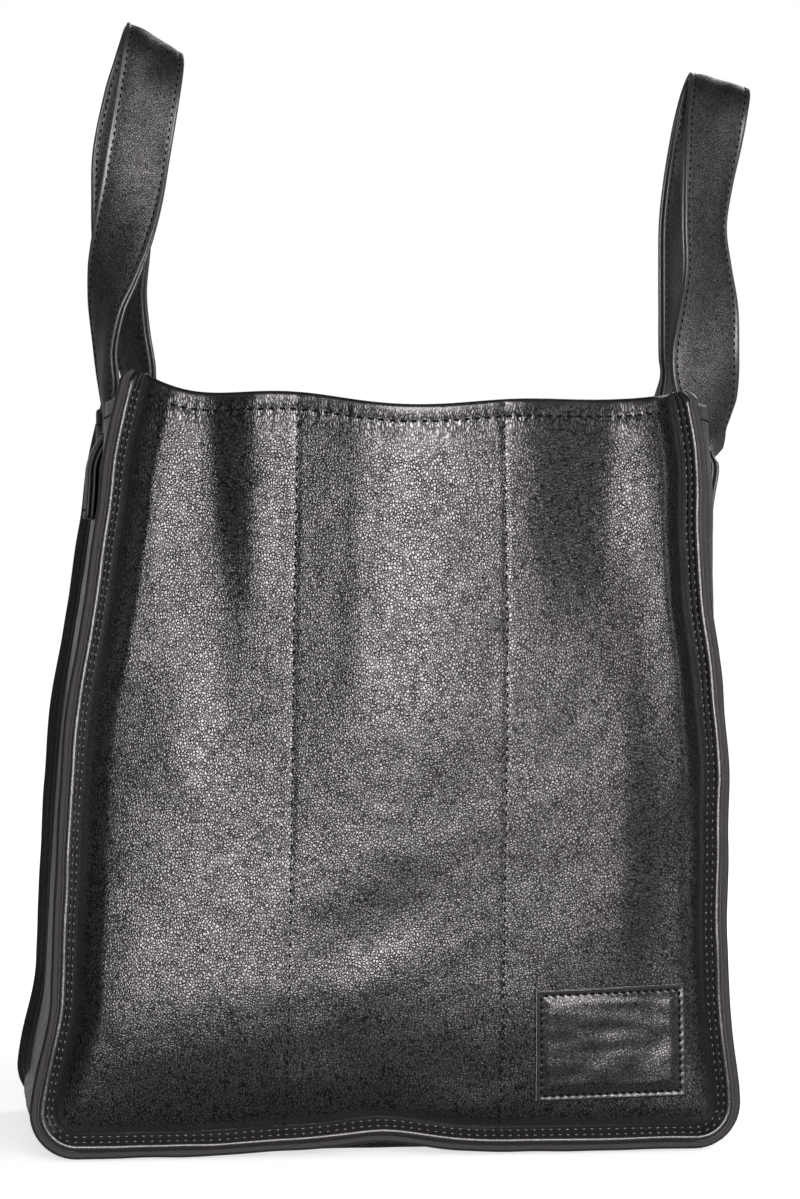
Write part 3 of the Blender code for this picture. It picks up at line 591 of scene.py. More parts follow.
def wall_rows():
    """Share of the way down a wall for each row, closest together at the rim."""
    height = RIM_HEIGHT - WALL_FOOT
    hem = np.arange(ROUND_DROPS[-1] + HEM_ROW, HEM_DEPTH + 3.0, HEM_ROW)
    count = round((height - hem[-1]) / FIELD_ROW)
    field = np.linspace(hem[-1], height, count + 1)[1:]
    return np.concatenate([ROUND_DROPS, hem, field]) / height


DOWN = wall_rows()
SIDE_COUNT = len(DOWN) + ARC_STEPS


def across_shares():
    """Shares across a panel for its columns, closest together beside the seams."""
    fine = np.linspace(0.0, 1.0, 4001)
    density = 1.0 + 3.0 * bell(fine, 0.0, 0.012) + 3.0 * bell(fine, 1.0, 0.012)
    total = np.concatenate([[0.0], np.cumsum(0.5 * (density[1:] + density[:-1]))])
    return np.interp(np.linspace(0.0, total[-1], PANEL_COLUMNS), total, fine)


ACROSS = across_shares()


def seam_side(side):
    z = blend(gusset_rim(side, 1.0), WALL_FOOT, DOWN)
    wall = stacked(side * (half_width(side, z) + seam_wander(side, z)), -half_depth(z), z)
    angle = 0.5 * math.pi * np.arange(1, ARC_STEPS + 1) / ARC_STEPS
    centre = half_width(side, WALL_FOOT) + seam_wander(side, WALL_FOOT) - SEAM_CORNER_RADIUS
    z = WALL_FOOT - SEAM_CORNER_RADIUS * np.sin(angle)
    arc = stacked(side * (centre + SEAM_CORNER_RADIUS * np.cos(angle)), -half_depth(z), z)
    return np.concatenate([wall, arc])


def seam_line():
    """Seam points from the left rim round the base to the right rim, and their outward way."""
    left, right = seam_side(-1), seam_side(1)
    base = blend(left[-1], right[-1], ACROSS[1:-1, None])
    base[:, 2] += base_lift(base[:, 0])
    points = np.concatenate([left, base, right[::-1]])
    ahead = np.gradient(points, axis=0)
    outward = stacked(ahead[:, 2], 0.0, -ahead[:, 0])
    return points, outward / np.linalg.norm(outward, axis=1, keepdims=True)


def lengths_along(points):
    steps = np.linalg.norm(np.diff(points, axis=0), axis=1)
    return np.concatenate([[0.0], np.cumsum(steps)])


SEAM, OUTWARD = seam_line()
SEAM_LENGTH = lengths_along(SEAM)


def flange_section(ply):
    """Outer and inner sides of one turned edge, from its folded tip to its root: distance
    along the flange and beside the mating plane."""
    gap, fold = 0.5 * SEAM_GAP, 0.5 * TURNED_EDGE
    outer = gap + TURNED_EDGE
    cos, sin = math.cos(FLANGE_ANGLE), math.sin(FLANGE_ANGLE)
    if ply < 0:
        cos, sin = sin, cos
    outer_root = (LEATHER - outer * cos) / sin
    inner_root = -gap * cos / sin
    bend = FLANGE_REACH - fold
    angle = np.radians([8.0, 30.0, 52.0, 72.0, 90.0])
    tip = bend + fold * np.cos(angle)
    far = gap + fold + TIP_SWELL * fold * np.sin(angle)
    near = gap + fold - fold * np.sin(angle)
    along = np.linspace(bend, outer_root, 12)[1:]
    pinch = sum(bell(along, row, 0.75) for row in FLANGE_ROWS)
    beside = blend(TIP_SWELL, 1.0, smooth_step((bend - along) / 2.0)) * fold + gap + fold
    outside = stacked(np.append(tip, along), np.append(far, beside - GROOVE_DEPTH * pinch))
    along = np.linspace(bend, inner_root, 12)[1:]
    inside = stacked(np.append(tip, along), np.append(near, np.full(11, gap)))
    return outside, inside


def flange(section, ply):
    """A turned edge's section carried all along the seam: an array of stations by section."""
    spots = stacked(SEAM_LENGTH, 0.0, 0.0)
    sway = unevenness(spots, FLANGE_SWAY)
    reach = 1.0 + REACH_UNEVEN * waves(spots, 13.0, 4 + ply)
    along = section[:, 0] * reach[:, None]
    beside = ply * section[:, 1] + sway[:, None] * (section[:, 0] / FLANGE_REACH) ** 2
    cos, sin = math.cos(FLANGE_ANGLE), math.sin(FLANGE_ANGLE)
    u = along * cos - beside * sin
    v = along * sin + beside * cos
    facing = np.array([0.0, -1.0, 0.0])
    return SEAM[:, None] + u[..., None] * OUTWARD[:, None] + v[..., None] * facing


def rim_taper(grid, drops):
    """Rounds the top end of a flange: near the rim its tip draws back to the root."""
    share = TAPER_SHARE * np.clip(1.0 - drops / TAPER_DROP, 0.0, 1.0) ** 2
    return blend(grid, grid[:, -1:], share[:, None, None])


def dressed(shell, materials, node):
    """The finished leather with its folded edges kept crisp, in place of its solid."""
    made = shell.finish(materials)
    made.data.set_sharp_from_angle(angle=math.radians(55.0))
    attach(made, "bag")
    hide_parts(node)


# Panels

def panel_field(left, right, folds):
    """Outer and inner points between the roots of the two side flanges."""
    down = np.append(DOWN, np.ones(ARC_STEPS))
    x = blend(left[:, None, 0], right[:, None, 0], ACROSS)
    ends = 2.0 * ACROSS - 1.0
    rim = panel_rim(ends) - blend(panel_rim(ends[:1]), panel_rim(ends[-1:]), ACROSS) + rim_wave(x)
    z = blend(left[:, None, 2], right[:, None, 2], ACROSS) + (1.0 - down[:, None]) * rim
    z = z + base_lift(x) * smooth_between(z, BASE_LIFT_TOP, SEAM_RISE + 2.6)
    crown = PANEL_CROWN + PANEL_TOP_CROWN * rim_share(z) ** 2
    drop = (down * (RIM_HEIGHT - WALL_FOOT))[:, None]
    rise = np.clip(z - z[-1:], 0.0, None)
    eased = 1.0 - np.clip(1.0 - rise / PANEL_EASE_HEIGHT, 0.0, 1.0) ** 2
    full = crown * (1.0 - ends ** 2) * eased
    side_gap = np.minimum(x - x[:, :1], x[:, -1:] - x)
    near = np.minimum(side_gap, rise)
    relief = panel_relief(x, z, drop, folds)
    relief -= relief[-1:] * (1.0 - smooth_step(rise / FOLD_SETTLE_HEIGHT))
    relief *= smooth_step(side_gap / FOLD_SETTLE_WIDTH)
    shoulder = SHOULDER_RISE * (1.0 - np.exp(-near / SHOULDER_WIDTH))
    y = -half_depth(z) - full - shoulder - relief
    round_in, hem = folded_rim(drop)
    outer = stacked(x, y - LEATHER + round_in, z)
    inner = stacked(x, y + hem - round_in, z)
    lip = smooth_between(drop, 1.2, 3.2)
    # Low grain at the seam margins and the hem lip also thins the panel leather's coat there, as
    # painted shade.
    grain = 0.1 + 0.9 * smooth_between(near, 0.6, 3.6) * (0.25 + 0.75 * lip)
    pull = 0.9 * bell(drop, HEM_STITCH_DROP, 8.0) + 0.6 * bell(side_gap, 0.0, 9.0)
    return outer, inner, grain, np.minimum(pull, 1.0)


def folded_rim(drop):
    """How far both faces draw in where the leather turns over at the rim, and the thickness
    that the turned hem adds behind it."""
    height = np.clip(1.0 - drop / LEATHER, 0.0, 1.0)
    round_in = 0.97 * LEATHER * (1.0 - np.sqrt(1.0 - height ** 2))
    return round_in, LEATHER * (1.0 - smooth_between(drop, HEM_DEPTH - 0.4, HEM_DEPTH + 0.6))


def panel(name, facing, folds, replaced):
    """A panel with its folded hem and a turned edge round its other three sides."""
    mirror = np.array([1.0, facing, 1.0])
    drops = np.append(DOWN, np.ones(ARC_STEPS)) * (RIM_HEIGHT - WALL_FOOT)
    lefts, rights, belows = [], [], []
    for section in flange_section(1):
        whole = flange(section, 1)
        lefts.append(rim_taper(whole[:SIDE_COUNT], drops))
        rights.append(rim_taper(whole[:-SIDE_COUNT - 1:-1], drops))
        belows.append(whole[SIDE_COUNT:-SIDE_COUNT])
    *fields, grain, pull = panel_field(lefts[0][:, -1], rights[0][:, -1], folds)
    # The flanges' low grain also thins their coat, as painted shade.
    plain = np.full((SIDE_COUNT, SECTION_COUNT - 1), 0.4)
    grain = np.concatenate([plain, grain, plain], 1)
    pull = np.concatenate([plain * 2.0, pull, plain * 2.0], 1)
    shell = Shell(name)
    faces = []
    for look, (left, field, right, below) in enumerate(zip(lefts, fields, rights, belows)):
        field[-1, 1:-1] = below[:, -1]
        wide = np.concatenate([left, field[:, 1:-1], right[:, ::-1]], 1) * mirror
        under = np.concatenate([left[-1:], below, right[-1:]])[:, ::-1] * mirror
        under = under.transpose(1, 0, 2)
        shell.grid(wide, look, grain, pull)
        shell.grid(under, 0, 0.12)
        faces.append((wide[0], wide[:, 0], wide[:, -1], under[-1]))
        if look == 0:
            outer = wide
    for edges in zip(*faces):
        shell.grid(np.stack(edges), 0, 0.3)
    dressed(shell, [PANEL_LEATHER, FLESH_SIDE], replaced)
    return outer


# Gusset

def gusset(name):
    """One strip down the left side, under the base and up the right side."""
    last = len(SEAM)
    row = np.minimum(np.arange(last), last - 1 - np.arange(last))
    down = np.append(DOWN, np.ones(ARC_STEPS))[np.minimum(row, SIDE_COUNT - 1)]
    drops = down * (RIM_HEIGHT - WALL_FOOT)
    turn = np.clip((row + 1 - len(DOWN)) / ARC_STEPS, 0.0, 1.0)
    left_half = np.arange(last) < last / 2
    front = [rim_taper(flange(section, -1), drops) for section in flange_section(-1)]
    share = np.linspace(-1.0, 1.0, GUSSET_COLUMNS + 2)[1:-1]
    x, _, z = np.repeat(SEAM.T[..., None], GUSSET_COLUMNS, 2)
    way = np.repeat(OUTWARD[:, None], GUSSET_COLUMNS, 1)
    full = np.zeros_like(z)
    rise = np.maximum(0.0, (np.abs(share) - BASE_FLAT_SHARE) / (1.0 - BASE_FLAT_SHARE))
    for side, chosen in ((-1, left_half), (1, ~left_half)):
        wall, bent = chosen & (turn == 0.0), chosen & (turn > 0.0)
        rim = gusset_rim(side, share)
        z[wall] = rim - down[wall, None] * (rim - WALL_FOOT)
        full[wall] = gusset_fullness(side, share, z[wall])
        depth = (SEAM[bent, 2:3] - LEATHER) * (1.0 - rise ** 2)
        full[bent] = blend(gusset_fullness(side, share, WALL_FOOT), depth, turn[bent, None])
        stray = seam_wander(side, z[wall]) * np.abs(share) ** 3
        x[wall] = side * (half_width(side, z[wall]) + stray)
        way[wall] = np.array([side, 0.0, 0.0])
    turn = turn[:, None]
    place = stacked(x, -front[0][:, -1:, 1] * share, z)
    relief = unevenness(place, GUSSET_WAVES)
    relief *= (1.0 - np.abs(share) ** 4) * (1.0 - 0.9 * (turn == 1.0))
    round_in, hem = np.where(turn > 0.0, 0.0, folded_rim(drops[:, None]))
    outer = place + (full + relief + LEATHER - round_in)[..., None] * way
    inner = place + (full + relief - hem + round_in)[..., None] * way
    mirror = np.array([1.0, -1.0, 1.0])
    outer, inner = (np.concatenate([turned, field, turned[:, ::-1] * mirror], 1)
                    for turned, field in zip(front, (outer, inner)))
    edge = np.minimum(share + 1.0, 1.0 - share) * 60.0
    # The low grain on the flanges and near the seams also thins the coat there, as painted shade.
    plain = np.full(SECTION_COUNT, 0.45)
    grain = np.concatenate([plain, 0.12 + 0.88 * smooth_between(edge, 1.0, 6.0), plain])
    shell = Shell(name)
    shell.slab(outer, inner, (0, 1, 0), grain)
    dressed(shell, [PANEL_LEATHER, FLESH_SIDE], "gusset")
    return outer


# Strap handles, close to the routes of their solids

STRAP_WIDTH = 23.0
STRAP_LAYER = 1.4
FINE_STEP = 1.5
SEWN_OFFSET = 2.0
SEWN_STATIONS = 8
OUTER_END_DROP = {-1: 41.0, 1: 40.0}
OUTER_END_TOP = {-1: 10.0, 1: 19.0}
INNER_END_DROP = 46.0
INNER_END_TOP = 24.0
SEWN_LIFT = {-1: 0.0, 1: 2.6}

# Distance outwards from the rim, depth, height over the rim, and turn of the strap's width
HANDLE_ROUTE = {
    -1: (
        (6.0, -6.0, 6.0, -80), (7.4, -8.0, 20.0, -77), (7.0, -11.0, 35.0, -62),
        (4.6, -13.0, 47.0, -42), (1.4, -14.0, 60.0, -25), (-1.6, -14.0, 74.0, -12),
        (-4.6, -13.0, 92.0, 0), (-7.6, -11.5, 110.0, 0), (-9.4, -8.8, 121.5, 0),
        (-10.2, -5.0, 128.4, 0), (-10.4, 0.0, 131.3, 0), (-9.6, 5.0, 128.6, 0),
        (-7.6, 8.8, 122.0, 0), (-4.6, 11.3, 112.0, 0), (-0.6, 12.5, 92.0, -6),
        (0.0, 13.0, 74.0, -16), (0.4, 12.5, 58.0, -30),
        (0.0, 11.5, 42.0, -48), (-2.6, 9.5, 27.0, -60), (-5.8, 7.5, 11.0, -66),
        (-7.6, 5.5, 0.0, -78), (-4.0, 3.5, -9.0, -86),
    ),
    1: (
        (15.2, -2.5, -14.5, 68), (14.2, -3.4, -8.5, 52), (12.4, -5.5, 2.0, 24),
        (11.0, -7.5, 18.0, 6),
        (11.6, -10.0, 35.0, 14),
        (11.0, -11.5, 50.0, 32), (9.8, -12.0, 66.0, 38), (11.0, -12.0, 82.0, 30),
        (13.4, -11.0, 98.0, 16), (15.4, -8.6, 109.5, 4), (17.0, -5.0, 116.4, 0),
        (17.6, 0.0, 119.3, 0), (16.8, 5.0, 116.6, 4), (14.6, 8.6, 109.5, 14),
        (11.0, 10.8, 98.0, 28), (6.6, 12.0, 84.0, 46),
        (3.8, 12.5, 68.0, 54), (3.0, 12.0, 50.0, 57), (2.6, 10.5, 32.0, 58),
        (1.0, 8.0, 14.0, 63), (-4.8, 5.5, 0.0, 86), (-3.0, 3.5, -9.0, 90),
    ),
}
STRAP_HALF = STRAP_LAYER + 0.5 * FIT_GAP

# How far the top of each loop leans down towards its right edge, and how the right strap
# widens over the rim
TOP_LEAN = {-1: math.radians(30.0), 1: math.radians(14.0)}
LEAN_START = 24.0
LEAN_END = 3.0
STRAP_SPREAD = 0.13
SPREAD_HEIGHT = 276.0
SPREAD_REACH = 20.0

# Soft buckles of a strap: depth and height of the middle, share across, reach along and across,
# and height
BUCKLES = {
    -1: ((-8.0, 388.0, -0.4, 10.0, 0.45, 0.7), (-10.0, 385.0, 0.3, 7.0, 0.45, -0.8),
         (-8.0, 388.0, 0.9, 9.0, 0.4, 0.5), (-8.0, 268.0, 0.2, 9.0, 0.5, 0.9),
         (-9.0, 281.0, -0.3, 5.0, 0.6, -0.6), (-13.0, 350.0, 0.0, 14.0, 0.6, 0.6),
         (-12.0, 312.0, 0.3, 12.0, 0.4, 0.5)),
    1: ((-7.0, 377.0, 0.0, 8.0, 0.3, -0.7), (-7.0, 376.0, -0.6, 9.0, 0.35, 0.5),
        (-6.0, 264.0, 0.1, 8.0, 0.5, 0.9), (-7.5, 276.0, -0.2, 5.0, 0.6, -0.6),
        (-12.0, 345.0, 0.2, 12.0, 0.5, 0.7), (-12.0, 333.0, 0.1, 6.0, 0.7, -0.6),
        (-11.0, 305.0, -0.3, 12.0, 0.4, 0.6)),
}


def gusset_reach(side, z, y=0.0):
    return half_width(side, z) + gusset_fullness(side, y / half_depth(z), z)


def sewn_station(side, outside, drop):
    z = RIM_HEIGHT - drop
    slope = 0.5 * (gusset_reach(side, z + 1.0) - gusset_reach(side, z - 1.0))
    clear = (SEWN_GAP + STRAP_HALF) * math.hypot(1.0, slope)
    if outside:
        lift = SEWN_LIFT[side] * smooth_between(drop, OUTER_END_DROP[side], OUTER_END_TOP[side])
        x, y = gusset_reach(side, z) + LEATHER + clear + lift, -SEWN_OFFSET
    else:
        x, y = gusset_reach(side, z) - clear, SEWN_OFFSET
    return np.array([side * x, y, z, side * 90.0])


def handle_stations(side):
    rim = gusset_reach(side, RIM_HEIGHT) + LEATHER
    outer = np.linspace(OUTER_END_DROP[side], OUTER_END_TOP[side], SEWN_STATIONS)
    inner = np.linspace(INNER_END_TOP, INNER_END_DROP, SEWN_STATIONS)
    stations = [sewn_station(side, True, drop) for drop in outer]
    for outwards, depth, rise, turn in HANDLE_ROUTE[side]:
        stations.append(np.array([side * (rim + outwards), depth, RIM_HEIGHT + rise, turn]))
    return stations + [sewn_station(side, False, drop) for drop in inner]


def smooth_route(stations, step):
    """Points along a smooth curve through the stations, about one step apart."""
    last = len(stations) - 1
    reach = [float(np.linalg.norm((b - a)[:3])) for a, b in zip(stations, stations[1:])]
    slopes = []
    for i in range(last + 1):
        low, high = max(i - 1, 0), min(i + 1, last)
        slopes.append((stations[high] - stations[low]) / sum(reach[low:high]))
    route = []
    for i in range(last):
        pieces = max(1, round(reach[i] / step))
        for piece in range(pieces):
            t = piece / pieces
            eased = float(smooth_step(t))
            leave = t * (1.0 - t) ** 2
            arrive = t * t * (t - 1.0)
            bend = reach[i] * (leave * slopes[i] + arrive * slopes[i + 1])
            route.append(blend(stations[i], stations[i + 1], eased) + bend)
    route.append(stations[last])
    return np.array(route)


def strap_frames(side):
    """Centres, directions of the width and outward directions along a strap."""
    route = smooth_route(handle_stations(side), FINE_STEP)
    ahead = np.gradient(route[:, :3], axis=0)
    ahead /= np.linalg.norm(ahead, axis=1, keepdims=True)
    turn = np.radians(route[:, 3])
    top = np.max(route[:, 2])
    lean = TOP_LEAN[side] * smooth_between(route[:, 2], top - LEAN_START, top - LEAN_END)
    level = np.cos(lean)
    across = stacked(np.cos(turn) * level, np.sin(turn) * level, -np.sin(lean))
    across -= np.sum(across * ahead, 1)[:, None] * ahead
    across /= np.linalg.norm(across, axis=1, keepdims=True)
    return route[:, :3], across, np.cross(across, ahead)


STRAP_SHARES = np.array([-1.0, -0.985, -0.95, -0.9, -0.85, -0.8, -0.72, -0.6, -0.45, -0.3, -0.15,
                         0.0, 0.15, 0.3, 0.45, 0.6, 0.72, 0.8, 0.85, 0.9, 0.95, 0.985, 1.0])
STRAP_STITCH_IN = 1.9
TOP_ROW_IN = 1.5
LOW_ROW_IN = 2.5
STRAP_LAYERS = (("face", 1.0, ("face", "outer_end", "outer_bend")),
                ("lining", -1.0, ("lining", "inner_bend", "inner_end")))


def spread(side, centre):
    """How much a strap flattens out and widens where it bends over the rim."""
    if side < 0:
        return np.ones(len(centre))
    outer = np.arange(len(centre)) < len(centre) // 2
    return 1.0 + STRAP_SPREAD * outer * bell(centre[:, 2], SPREAD_HEIGHT, SPREAD_REACH)


def strap_layer(name, side, outward):
    """One of a strap's two layers: turned edges, a sewn groove near each and a soft middle."""
    centre, across, out = strap_frames(side)
    half = 0.5 * STRAP_WIDTH
    place = STRAP_SHARES * half
    inward = half - np.abs(place)
    edge = np.clip(1.0 - inward / 0.7, 0.0, 1.0)
    round_in = 0.62 * (1.0 - np.sqrt(1.0 - edge ** 2))
    groove = 0.3 * bell(inward, STRAP_STITCH_IN, 0.9)
    middle = 0.35 * smooth_between(inward, 2.4, 7.0)
    near, far = 0.5 * FIT_GAP, STRAP_HALF
    length = np.arange(len(centre)) * FINE_STEP
    spots = stacked(length[:, None], place, 60.0 * side + outward)
    uneven = 0.22 * waves(spots, 11.0, 8) * smooth_between(inward, 0.5, 4.0)
    buckled = np.zeros_like(uneven)
    for depth, height, share, reach, wide, rise in BUCKLES[side]:
        away = np.hypot(centre[:, 1] - depth, centre[:, 2] - height)[:, None] / reach
        buckled += outward * rise * bell(away, 0.0, 1.0) * bell(STRAP_SHARES, share, wide)
    buckled *= smooth_between(inward, 0.0, 4.0)
    outer = far - round_in - groove + middle + uneven + np.maximum(buckled, -0.9)
    inner = np.broadcast_to(near + round_in, outer.shape)
    width = spread(side, centre)[:, None, None] * across[:, None]
    base = centre[:, None] + place[None, :, None] * width
    faces = [base + outward * height[..., None] * out[:, None] for height in (outer, inner)]
    grain = 0.25 + 0.75 * smooth_between(inward, 1.4, 3.2)
    shell = Shell(name)
    shell.slab(*faces, grain=grain)
    return shell.finish([STRAP_LEATHER]), faces[0]


def bend_with_handle(piece):
    """Bakes the piece's placement into its mesh."""
    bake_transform(piece)


# Stitches

def stitch_tree():
    """Lays a thread stitch at every point, turned to its run and its upward way."""
    tree = bpy.data.node_groups.new("sewn_stitches", "GeometryNodeTree")
    face = tree.interface
    face.new_socket("Geometry", in_out="INPUT", socket_type="NodeSocketGeometry")
    for name in ("Stitch Length", "Thread Width"):
        face.new_socket(name, in_out="INPUT", socket_type="NodeSocketFloat")
    seed = face.new_socket("Seed", in_out="INPUT", socket_type="NodeSocketInt")
    seed.default_value = 1
    face.new_socket("Thread", in_out="INPUT", socket_type="NodeSocketMaterial")
    face.new_socket("Geometry", in_out="OUTPUT", socket_type="NodeSocketGeometry")
    given = tree.nodes.new("NodeGroupInput")
    result = tree.nodes.new("NodeGroupOutput")
    bead = add_node(tree, "GeometryNodeMeshUVSphere", {"Segments": 8, "Rings": 6, "Radius": 0.5})
    size = add_node(tree, "ShaderNodeCombineXYZ", X=given.outputs["Stitch Length"],
                    Y=given.outputs["Thread Width"], Z=given.outputs["Thread Width"])
    along = add_node(tree, "GeometryNodeInputNamedAttribute",
                     {"data_type": "FLOAT_VECTOR", "Name": "along"})
    upward = add_node(tree, "GeometryNodeInputNamedAttribute",
                      {"data_type": "FLOAT_VECTOR", "Name": "upward"})
    run = add_node(tree, "FunctionNodeAlignRotationToVector", {"axis": "X"},
                   Vector=along.outputs["Attribute"])
    stand = add_node(tree, "FunctionNodeAlignRotationToVector", {"axis": "Z", "pivot_axis": "X"},
                     Rotation=run, Vector=upward.outputs["Attribute"])
    tilt = add_node(tree, "FunctionNodeRandomValue",
                    {"data_type": "FLOAT_VECTOR", 0: (-0.02, -0.05, -0.09), 1: (0.02, 0.05, 0.09)},
                    Seed=given.outputs["Seed"])
    turned = add_node(tree, "FunctionNodeRotateRotation", {"rotation_space": "LOCAL"},
                      Rotation=stand, i1=tilt)
    laid = add_node(tree, "GeometryNodeInstanceOnPoints", Points=given.outputs["Geometry"],
                    Instance=bead.outputs["Mesh"], Rotation=turned, Scale=size)
    real = add_node(tree, "GeometryNodeRealizeInstances", Geometry=laid)
    sewn = add_node(tree, "GeometryNodeSetMaterial", Geometry=real,
                    Material=given.outputs["Thread"])
    tree.links.new(sewn.outputs[0], result.inputs[0])
    return tree


STITCH_TREE = stitch_tree()


def socket_of(tree, name):
    for item in tree.interface.items_tree:
        if item.name == name and item.in_out == "INPUT":
            return item.identifier
    raise KeyError(name)


def spaced(points, normals, pitch, measure=None):
    """Stitch places along a line of surface points: centres, runs and upward directions. With
    a measure along the line the stitches fall on its whole pitches."""
    if measure is None:
        measure = lengths_along(points)
        count = max(1, round(measure[-1] / pitch))
        pitch = measure[-1] / count
        marks = (np.arange(count) + 0.5) * pitch
    else:
        first, last = math.ceil(measure[0] / pitch), math.floor(measure[-1] / pitch)
        marks = np.arange(first, last + 1) * pitch

    def at(places, values):
        return np.stack([np.interp(places, measure, values[:, k]) for k in range(3)], 1)

    run = at(marks + 0.3 * pitch, points) - at(marks - 0.3 * pitch, points)
    return at(marks, points), run, at(marks, normals)


def sew(name, rows, length, width, thread=SUNK_THREAD, sink=0.0, seed=1):
    """Makes one mesh of stitches from rows of places, runs and upward directions."""
    places = np.concatenate([row[0] for row in rows])
    upward = np.concatenate([row[2] for row in rows])
    upward /= np.linalg.norm(upward, axis=1, keepdims=True)
    data = bpy.data.meshes.new(name)
    data.from_pydata(((places - sink * upward) * MM).tolist(), [], [])
    for key, values in (("along", np.concatenate([row[1] for row in rows])), ("upward", upward)):
        layer = data.attributes.new(key, "FLOAT_VECTOR", "POINT")
        layer.data.foreach_set("vector", values.astype(np.float32).ravel())
    guide = new_object(name, data)
    modifier = guide.modifiers.new("stitches", "NODES")
    modifier.node_group = STITCH_TREE
    modifier[socket_of(STITCH_TREE, "Stitch Length")] = length * MM
    modifier[socket_of(STITCH_TREE, "Thread Width")] = width * MM
    modifier[socket_of(STITCH_TREE, "Seed")] = seed
    modifier[socket_of(STITCH_TREE, "Thread")] = thread
    bpy.context.view_layer.update()
    depsgraph = bpy.context.evaluated_depsgraph_get()
    sewn = bpy.data.meshes.new_from_object(guide.evaluated_get(depsgraph))
    guide.modifiers.clear()
    guide.data = sewn
    sewn.shade_smooth()
    sewn.name = name
    return guide


class Skin:
    """The outer grid of a dressed piece, read between its points."""

    def __init__(self, grid, outward):
        self.grid = grid
        self.normals = surface_normals(grid)
        middle = self.normals[grid.shape[0] // 2, grid.shape[1] // 2]
        if np.dot(middle, outward) < 0.0:
            self.normals = -self.normals

    def read(self, rows, columns):
        """Points and normals at places between the grid's rows and columns."""
        rows, columns = np.broadcast_arrays(np.clip(rows, 0, self.grid.shape[0] - 1.001),
                                            np.clip(columns, 0, self.grid.shape[1] - 1.001))
        r, c = rows.astype(int), columns.astype(int)
        u, v = (rows - r)[:, None], (columns - c)[:, None]
        found = []
        for grid in (self.grid, self.normals):
            low = blend(grid[r, c], grid[r, c + 1], v)
            high = blend(grid[r + 1, c], grid[r + 1, c + 1], v)
            found.append(blend(low, high, u))
        return found


FIRST_FIELD = SECTION_COUNT - 1
LAST_FIELD = FIRST_FIELD + PANEL_COLUMNS - 1


def row_at_drop(drop):
    return np.interp(drop / (RIM_HEIGHT - WALL_FOOT), DOWN, np.arange(len(DOWN)))


def panel_stitches(name, grid, facing):
    """The hem row and the two divider rows of one panel."""
    skin = Skin(grid, (0.0, -facing, 0.0))
    columns = np.linspace(FIRST_FIELD + 1.5, LAST_FIELD - 1.5, LINE_SAMPLES)
    hem = skin.read(row_at_drop(HEM_STITCH_DROP), columns)
    rows = [spaced(*hem, PANEL_PITCH, measure=hem[0][:, 0])]
    down = np.linspace(SIDE_COUNT - 3.0, row_at_drop(1.0), LINE_SAMPLES)
    middle, left, right = (skin.read(down, column)[0] for column in (
        0.5 * (FIRST_FIELD + LAST_FIELD), FIRST_FIELD, LAST_FIELD))
    lines = []
    for line in STITCHED_LINES:
        share = (line_x(line, middle[:, 2]) - left[:, 0]) / (right[:, 0] - left[:, 0])
        columns = FIRST_FIELD + np.interp(share, ACROSS, np.arange(PANEL_COLUMNS))
        points, normals = skin.read(down, columns)
        lines.append(spaced(points, normals, PANEL_PITCH, measure=points[:, 2]))
    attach(sew(f"{name}_hem", rows, 0.68 * PANEL_PITCH, 0.95), "bag")
    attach(sew(f"{name}_dividers", lines, 0.5 * PANEL_PITCH, 0.75, sink=0.08), "bag")


def seam_stitches(name, facing):
    """Two close rows along the panel's side of the flange, right round the seam."""
    section, _ = flange_section(1)
    skin = Skin(flange(section, 1) * (1.0, facing, 1.0), (0.0, -facing, 0.0))
    start = row_at_drop(SEAM_ROW_START)
    stations = np.linspace(start, len(SEAM) - 1 - start, SEAM_SAMPLES)
    rows = []
    for along in FLANGE_ROWS:
        column = np.interp(-along, -section[:, 0], np.arange(SECTION_COUNT))
        rows.append(spaced(*skin.read(stations, column), SEAM_PITCH))
    # The seam rows take the lighter copy of the thread, a painted highlight.
    made = sew(name, rows, 0.5 * SEAM_PITCH, 0.7, SEAM_THREAD_PAINTED_HIGHLIGHT, sink=0.01, seed=2)
    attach(made, "bag")


def gusset_stitches(name, grid):
    """The hem rows over both sides of the gusset."""
    columns = np.linspace(SECTION_COUNT + 1.0, grid.shape[1] - SECTION_COUNT - 2.0, 300)
    rows = []
    for part, side in ((grid[:60], -1.0), (grid[:-61:-1], 1.0)):
        line = Skin(part, (side, 0.0, 0.0)).read(row_at_drop(HEM_STITCH_DROP), columns)
        rows.append(spaced(*line, PANEL_PITCH))
    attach(sew(name, rows, 0.66 * PANEL_PITCH, 0.8, sink=0.05, seed=3), "bag")


def crossings(centre, side):
    """Stations of the rows that cross a strap at the top and bottom of its sewn ends."""
    half = len(centre) // 2
    found = []
    for begun, part, top, drop in ((0, centre[:half], OUTER_END_TOP[side], OUTER_END_DROP[side]),
                                   (half, centre[half:], INNER_END_TOP, INNER_END_DROP)):
        for height in (RIM_HEIGHT - top - TOP_ROW_IN, RIM_HEIGHT - drop + LOW_ROW_IN):
            found.append(begun + int(np.argmin(np.abs(part[:, 2] - height))))
    return found


